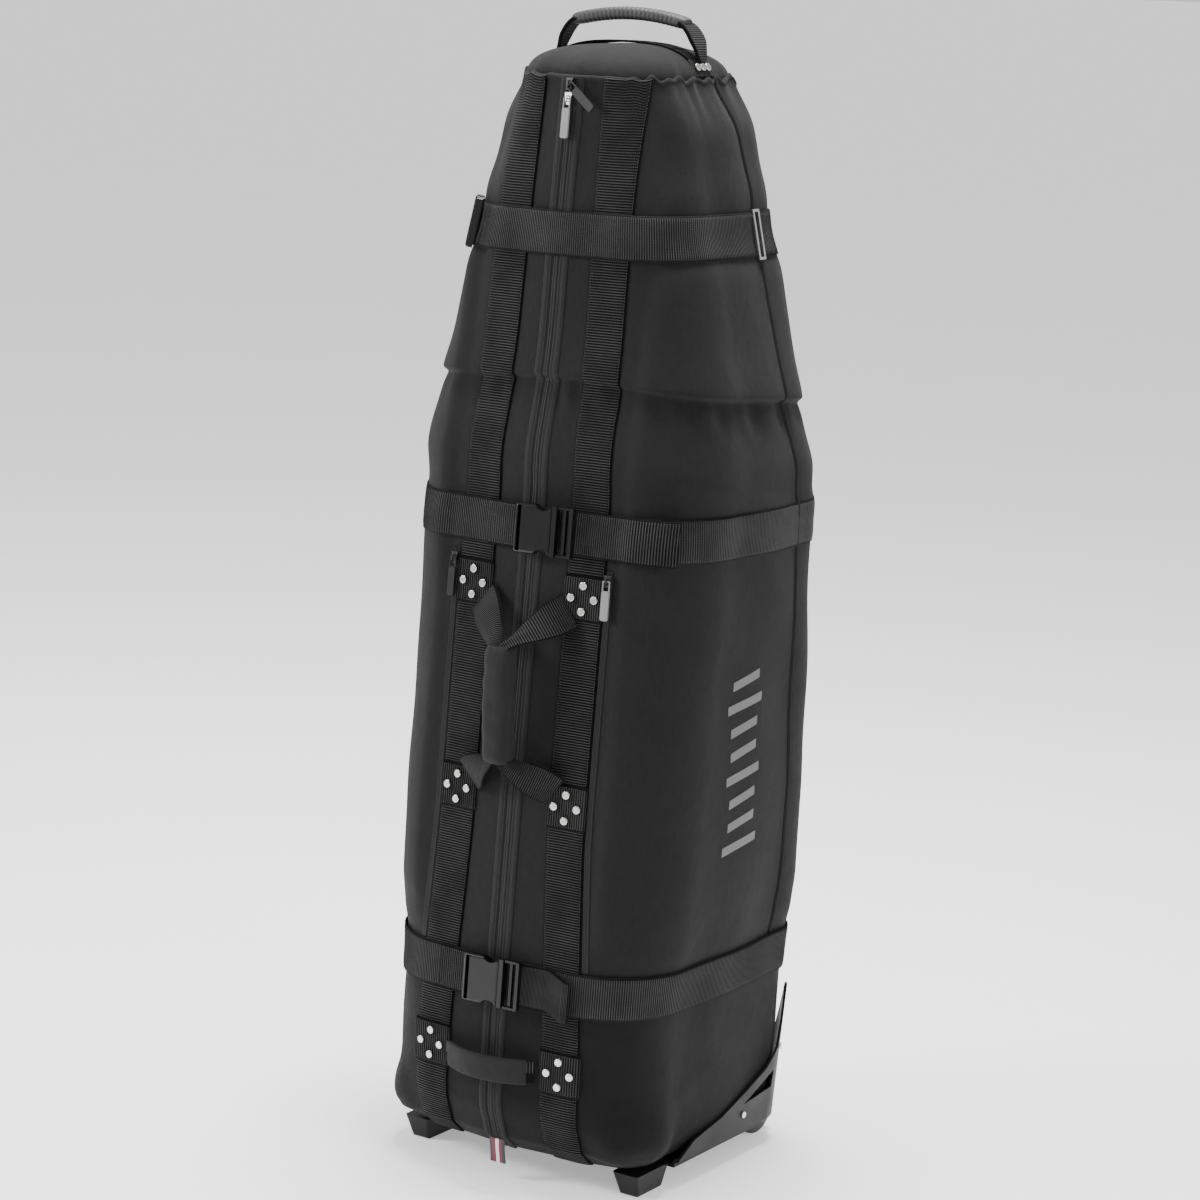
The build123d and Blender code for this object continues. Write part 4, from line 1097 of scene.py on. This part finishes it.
def grip_centre(v):
    z = HAUL_LOW + v * (HAUL_HIGH - HAUL_LOW)
    bow = 2.0 * np.sin(math.pi * v)
    centre = np.stack([0 * v, HAUL_Y - bow, z], -1)
    return centre, np.array([1.0, 0, 0]), np.array([0, -1.0, 0])


def grip_radius(turn, v):
    body = 14.8 * squared(turn, 3.2) * drawn_in(v, 0.22, 45)
    crease = 0.35 * np.sin(turn * 3 + v * 9) + 0.3 * np.sin(v * 31 + turn)
    step = 1.5 * smooth(2.2, 2.32, turn) * smooth(3.6, 2.4, turn)
    radius = body + crease + step
    return radius * 1.06, radius * 0.94


grip = capped("haul_grip_wrap", 96, 90, tube_place(grip_centre, grip_radius), plain_size(0.1, 0.128))
fasten(grip, "haul_handle", "handle_pad", PAD_CLOTH, "haul_grip")

# %% Grab handle
GRAB_REACH, GRAB_HALF, GRAB_Z = 208.0, 60.0, 140.0
GRAB_END_Y = float(bag_front(GRAB_HALF, GRAB_Z, 8.0)[1])


def grab_centre(v):
    q = 2 * v - 1
    depth = GRAB_REACH - 3.5 + GRAB_END_Y
    y = GRAB_END_Y - depth * (1 - q * q)
    centre = np.stack([q * GRAB_HALF, y, GRAB_Z + 0 * v], -1)
    slope = unit(np.stack([GRAB_HALF + 0 * v, 2 * depth * q, 0 * v], -1))
    out = np.stack([slope[:, 1], -slope[:, 0], 0 * v], -1)
    return centre, np.broadcast_to([0.0, 0, 1], centre.shape), out


def grab_sleeve(turn, v):
    end, flat = drawn_in(v, 0.35, 60), squared(turn, 4)
    return 14.0 * flat * (0.92 + 0.08 * end), 3.5 * flat * end


def grab_web(turn, v):
    return 11.6 * squared(turn, 6), 1.2 * squared(turn, 6)


def sleeve_span(v):
    return grab_centre(0.067 + v * 0.866)


handle = capped("grab_sleeve", 48, 90, tube_place(sleeve_span, grab_sleeve), plain_size(0.06, 0.11))
fasten(handle, "grab_handle", "handle_pad", PAD_CLOTH, "grab_grip")
core = capped("grab_core", 24, 60, tube_place(grab_centre, grab_web), plain_size(0.06, 0.13))
fasten(core, "grab_handle", "webbing", GATHERED, "grab_webbing")

# %% Top handle
GRIP_HALF, LEG_X, HANDLE_TOP, GRIP_R = 73.0, 92.0, 1283.0, 10.0
FOOT_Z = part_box("top_handle_webbing")[0][2] / MM
HINGE_Z = JOINTS["top_handle_swing"]["pos_m"][2] / MM


def top_centre(v):
    q = 2 * v - 1
    z = HANDLE_TOP - GRIP_R - 9 * q * q
    centre = np.stack([q * GRIP_HALF, TOP_Y + 0 * v, z], -1)
    slope = unit(np.stack([GRIP_HALF + 0 * v, 0 * v, -18 * q], -1))
    up = np.stack([-slope[:, 2], 0 * v, slope[:, 0]], -1)
    return centre, np.broadcast_to([0.0, 1, 0], centre.shape), up


def top_grip(turn, v):
    end, flat = drawn_in(v, 0.25, 50), squared(turn, 3)
    ribs = 0.25 * np.cos(v * 2 * math.pi * 26) * smooth(0.05, 0.12, v) * smooth(0.95, 0.88, v)
    return GRIP_R * 1.02 * flat * end + ribs, GRIP_R * 0.68 * flat * end + ribs


top = capped("top_grip_wrap", 40, 210, tube_place(top_centre, top_grip), plain_size(0.06, 0.15))
fasten(top, "top_handle", "soft_grip", SOFT_GRIP, "top_handle_grip")


def top_leg(side):
    """Leg of the top handle, with its foot rounded about the line it swings on."""
    grip_z = HANDLE_TOP - GRIP_R - 9
    start, end = (side * (GRIP_HALF - 6), 0, grip_z + 1), (side * LEG_X, 0, FOOT_Z)

    def place(u, v):
        line = hermite(start, end, (side * 40, 0, -8), (side * 2, 0, -46), v)
        height, foot = line[:, 2] - HINGE_Z, HINGE_Z - FOOT_Z
        round_end = np.sqrt(np.maximum(foot ** 2 - height ** 2, 0.5))
        half = np.where(height < 0, round_end, foot + 4 * smooth(0, 16, height))
        twist = side * 1.5 * (2 * u - 1) * np.sin(math.pi * v)
        return placed(line + np.stack([twist, TOP_Y + (2 * u - 1) * half, 0 * u], -1))

    obj = sheet_of("leg", 8, 60, place, web_size(0.06), 0, 180)
    if side < 0:
        in_edit(obj, (bpy.ops.mesh.flip_normals, {}))
    apply(obj, "SOLIDIFY", thickness=4.0 * MM, offset=0)
    return obj


legs = joined("top_handle_legs", [top_leg(-1), top_leg(1)])
fasten(legs, "top_handle", "webbing", GATHERED, "top_handle_webbing")

# %% [markdown]
# ## Inside, and the ribbon
# The pad under the dome and the inner strap are hidden, but the library's part is also used open,
# so they are modelled as what they are: a crowned foam pad and a loop of webbing.

# %% Pad, inner strap, ribbon
PAD_Z, PAD_HALF_T, PAD_SHARE = RIM - 15, 12.5, 0.88


def pad_place(u, v):
    turn = (v - 0.5) * math.pi
    share = np.cos(turn) ** 0.35
    rim = bare(u * 2 - 1, np.full_like(u, PAD_Z))
    middle = np.array([0, CAP_MIDDLE, PAD_Z])
    point = middle + (rim - middle) * (share * PAD_SHARE)[:, None]
    point[:, 2] = PAD_Z + PAD_HALF_T * np.sign(turn) * np.abs(np.sin(turn)) ** 0.6
    return placed(point)


pad = sheet_of("top_foam_pad", 96, 30, pad_place, plain_size(0.6, 0.3), 0, 60)
fasten(pad, "bag", "foam", FOAM, "top_pad")

INNER_Z = 620.0


def inner_place(u, v):
    return cloth_point(u * 2 - 1, INNER_Z + (v - 0.5) * WEB, -6.5, 0.0)


inner = sheet_of("cinch_strap", 240, 8, inner_place, web_size(1.1, True), 1.8)
fasten(inner, "bag", "webbing", WEBBING, "inner_strap")

ribbon_box = [np.array(corner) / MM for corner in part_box("ribbon_tab")]
RIBBON_W, RIBBON_H = 20.0, ribbon_box[1][2] - ribbon_box[0][2]
ribbon_finish = Finish("ribbon_stripes", (0.5, 0.5, 0.5), 0.55, Sheen_Weight=0.2)
ribbon_uv = ribbon_finish.add("ShaderNodeSeparateXYZ", {0: ribbon_finish.where("UV")})
stripes = ribbon_finish.add("ShaderNodeValToRGB", {0: ribbon_uv.outputs[0]})
stripes.color_ramp.interpolation = "CONSTANT"
STRIPES = [(0.0, (0.012, 0.012, 0.02)), (0.16, (0.13, 0.002, 0.014)), (0.40, (0.60, 0.58, 0.56)),
           (0.62, (0.13, 0.002, 0.014)), (0.80, (0.012, 0.012, 0.02))]
elements = stripes.color_ramp.elements
for index, (position, colour) in enumerate(STRIPES):
    element = elements[index] if index < len(elements) else elements.new(position)
    element.position = position
    element.color = (*colour, 1)
ribbon_finish.set("Base Color", stripes.outputs[0])
fuzz = ribbon_finish.noise(ribbon_finish.where(), 1800, 2)
ribbon_finish.set("Normal", ribbon_finish.bump(fuzz, 0.00015))


def ribbon_place(u, v):
    x = (u - 0.5) * RIBBON_W + 2 * (1 - v)
    z = ribbon_box[0][2] + v * RIBBON_H
    y = (ribbon_box[0][1] + ribbon_box[1][1]) / 2 + 0.5 * np.sin(v * 5 + u * 2)
    return np.stack([x, y, z], -1) * MM


ribbon = sheet_of("ribbon_loop", 12, 24, ribbon_place, plain_size(1, 1), 0)
apply(ribbon, "SOLIDIFY", thickness=1.2 * MM, offset=0)
fasten(ribbon, "bag", "ribbon", ribbon_finish.material, "ribbon_tab")

# %% [markdown]
# ## Plain marks on the side
# The real case carries a printed word down its right side. A word isn't part of the object, so a
# row of slanted reflective bars of the same grey takes its place.

# %% Side marks
MARK_Z, MARK_Y, MARK_W, MARK_L, MARKS = (378.0, 572.0), 4.0, 10.0, 46.0, 8
bars = []
for index in range(MARKS):
    z0 = MARK_Z[0] + (MARK_Z[1] - MARK_Z[0] - MARK_W) * index / (MARKS - 1)
    length = MARK_L * (1.0 if index % 3 else 1.3)

    def bar_place(u, v, z0=z0, length=length):
        z = z0 + v * MARK_W + (u - 0.5) * 10
        return cloth_point(s_of_y(MARK_Y + (u - 0.5) * length, z), z, 0.3)

    bars.append(sheet_of("bar", 12, 4, bar_place, plain_size(0.05, 0.01), 0.35))
fasten(joined("side_marks", bars), "bag", "body_fabric", PRINT)

# %% [markdown]
# ## Stitching
# Thread is what makes sewn goods read as sewn. One stitch is a tiny capsule, a sphere of a few
# faces stretched to three millimetres. It is copied along every seam that the straps need.


# %% Stitches along seams
def stitch_template():
    """Points and faces of one stitch, in millimetres about its own middle."""
    obj = fresh(bpy.ops.mesh.primitive_ico_sphere_add, subdivisions=1, radius=1)
    co = points_of(obj) * [1.35, 0.34, 0.26]
    faces = np.array([list(face.vertices) for face in obj.data.polygons])
    bpy.data.objects.remove(obj)
    return co, faces


STITCH, STITCH_FACES = stitch_template()
stitch_rows = []


def sew(path, lift, spacing=3.6):
    """Stitches along path(t), t from 0 to 1, which gives (x, z) on the bag's front."""
    t = np.linspace(0, 1, 400)
    x, z = path(t)
    length = np.concatenate([[0], np.cumsum(np.hypot(np.diff(x), np.diff(z)))])
    spots = np.arange(spacing / 2, length[-1], spacing)
    xs, zs = np.interp(spots, length, x), np.interp(spots, length, z)
    xa, za = np.interp(spots + 0.5, length, x), np.interp(spots + 0.5, length, z)
    here = on_front(xs, zs, lift) / MM
    ahead = unit(on_front(xa, za, lift) / MM - here + [1e-9, 0, 0])
    above = unit(on_front(xs, zs, lift + 1) / MM - here)
    aside = np.cross(above, ahead)
    frames = np.stack([ahead, aside, above], 1)
    stitch_rows.append(here[:, None] + np.einsum("vk,nkc->nvc", STITCH, frames))


def line(x0, z0, x1, z1):
    """Straight path for sew."""
    return lambda t: (x0 + (x1 - x0) * t, z0 + (z1 - z0) * t)


def box_stitch(x0, x1, z0, z1, lift, cross=True):
    """Stitched box, with a cross in it where a strap carries load."""
    for path in ((x0, z0, x1, z0), (x1, z0, x1, z1), (x1, z1, x0, z1), (x0, z1, x0, z0)):
        sew(line(*path), lift)
    if cross:
        sew(line(x0, z0, x1, z1), lift)
        sew(line(x0, z1, x1, z0), lift)


for x, z in PATCH_SPOTS:
    for side in (-1, 1):
        box_stitch(side * x - 21.5, side * x + 21.5, z - 21.5, z + 21.5, 3.75, False)
for (x0, x1), z in ((UPPER_TAB, UPPER_Z), (LOWER_TAB, LOWER_Z)):
    box_stitch(x0 + 3, x1 - 4, z - 21, z + 21, 5.8)
SEAM_LOW, SEAM_LONG = SOLE + 8, 1160.0
for side in (-1, 1):
    for offset in (-21.6, 21.6):
        sew(lambda t: (side * strip_x(SEAM_LOW + t * SEAM_LONG) + offset, SEAM_LOW + t * SEAM_LONG), 1.75)
    sew(line(side * 10.6, SEAM_LOW, side * 10.6, SEAM_LOW + SEAM_LONG), 1.75)
count = sum(len(row) for row in stitch_rows)
base = fresh(bpy.ops.mesh.primitive_ico_sphere_add, subdivisions=1, radius=1)
mesh = bpy.data.meshes.new("stitches")
vertices = np.concatenate(stitch_rows).reshape(-1, 3) * MM
faces = (STITCH_FACES[None] + (np.arange(count) * len(STITCH))[:, None, None]).reshape(-1, 3)
mesh.from_pydata(vertices.tolist(), [], faces.tolist())
base.data = mesh
base.name = "stitches"
only(base)
bpy.ops.object.shade_smooth()
fasten(base, "bag", "webbing", THREAD)
print(count, "stitches")

# %% [markdown]
# ## Floor, light and camera
# A plain pale floor, three large soft lights and a bright sky give the even studio look that lets
# black cloth show its shape.

# %% Studio
floor = fresh(bpy.ops.mesh.primitive_plane_add, size=300, location=(0, 0, 0))
floor.name = "floor"
floor_finish = Finish("floor_white", grey(0.9), 0.9, Emission_Color=(1, 1, 1, 1), Emission_Strength=0.4)
patchy = floor_finish.noise(floor_finish.where(), 3, 3)
floor_finish.set("Base Color", floor_finish.ramp(patchy, 0.3, 0.7, grey(0.89), grey(0.91)))
floor.data.materials.append(floor_finish.material)

world = bpy.data.worlds.new("studio")
bpy.context.scene.world = world
world.use_nodes = True
sky = world.node_tree.nodes["Background"]
sky.inputs[0].default_value = (1, 1, 1, 1)
sky.inputs[1].default_value = 0.8


def softbox(name, place, size, power):
    """Large square lamp that faces the middle of the case."""
    lamp = fresh(bpy.ops.object.light_add, type="AREA", location=place)
    lamp.name = name
    lamp.data.size = size
    lamp.data.energy = power
    lamp.rotation_euler = (Vector((0, 0, 0.65)) - Vector(place)).to_track_quat("-Z", "Y").to_euler()


softbox("key_light", (-2.6, -2.2, 2.2), 1.0, 130)
softbox("fill_light", (3.6, -0.6, 1.8), 1.4, 60)
softbox("top_light", (0.0, 0.3, 3.4), 1.0, 230)

# %% Camera
AZIMUTH, PITCH, ROLL = math.radians(34), math.radians(11), math.radians(2)
DISTANCE, CAMERA_Z, LENS = 3630.0, 1335.0, 99.7
right = Vector((math.cos(AZIMUTH), math.sin(AZIMUTH), 0))
level_ahead = Vector((-math.sin(AZIMUTH), math.cos(AZIMUTH), 0))
ahead = level_ahead * math.cos(PITCH) - Vector((0, 0, math.sin(PITCH)))
up = right.cross(ahead)
side_axis = right * math.cos(ROLL) + up * math.sin(ROLL)
up_axis = up * math.cos(ROLL) - right * math.sin(ROLL)
camera = fresh(bpy.ops.object.camera_add)
camera.location = -level_ahead * DISTANCE * MM + Vector((0, SHIFT, CAMERA_Z * MM))
camera.rotation_euler = Matrix((side_axis, up_axis, -ahead)).transposed().to_euler()
camera.data.lens = LENS
camera.data.sensor_width = 36
camera.data.clip_start, camera.data.clip_end = 0.1, 1000
bpy.context.scene.camera = camera
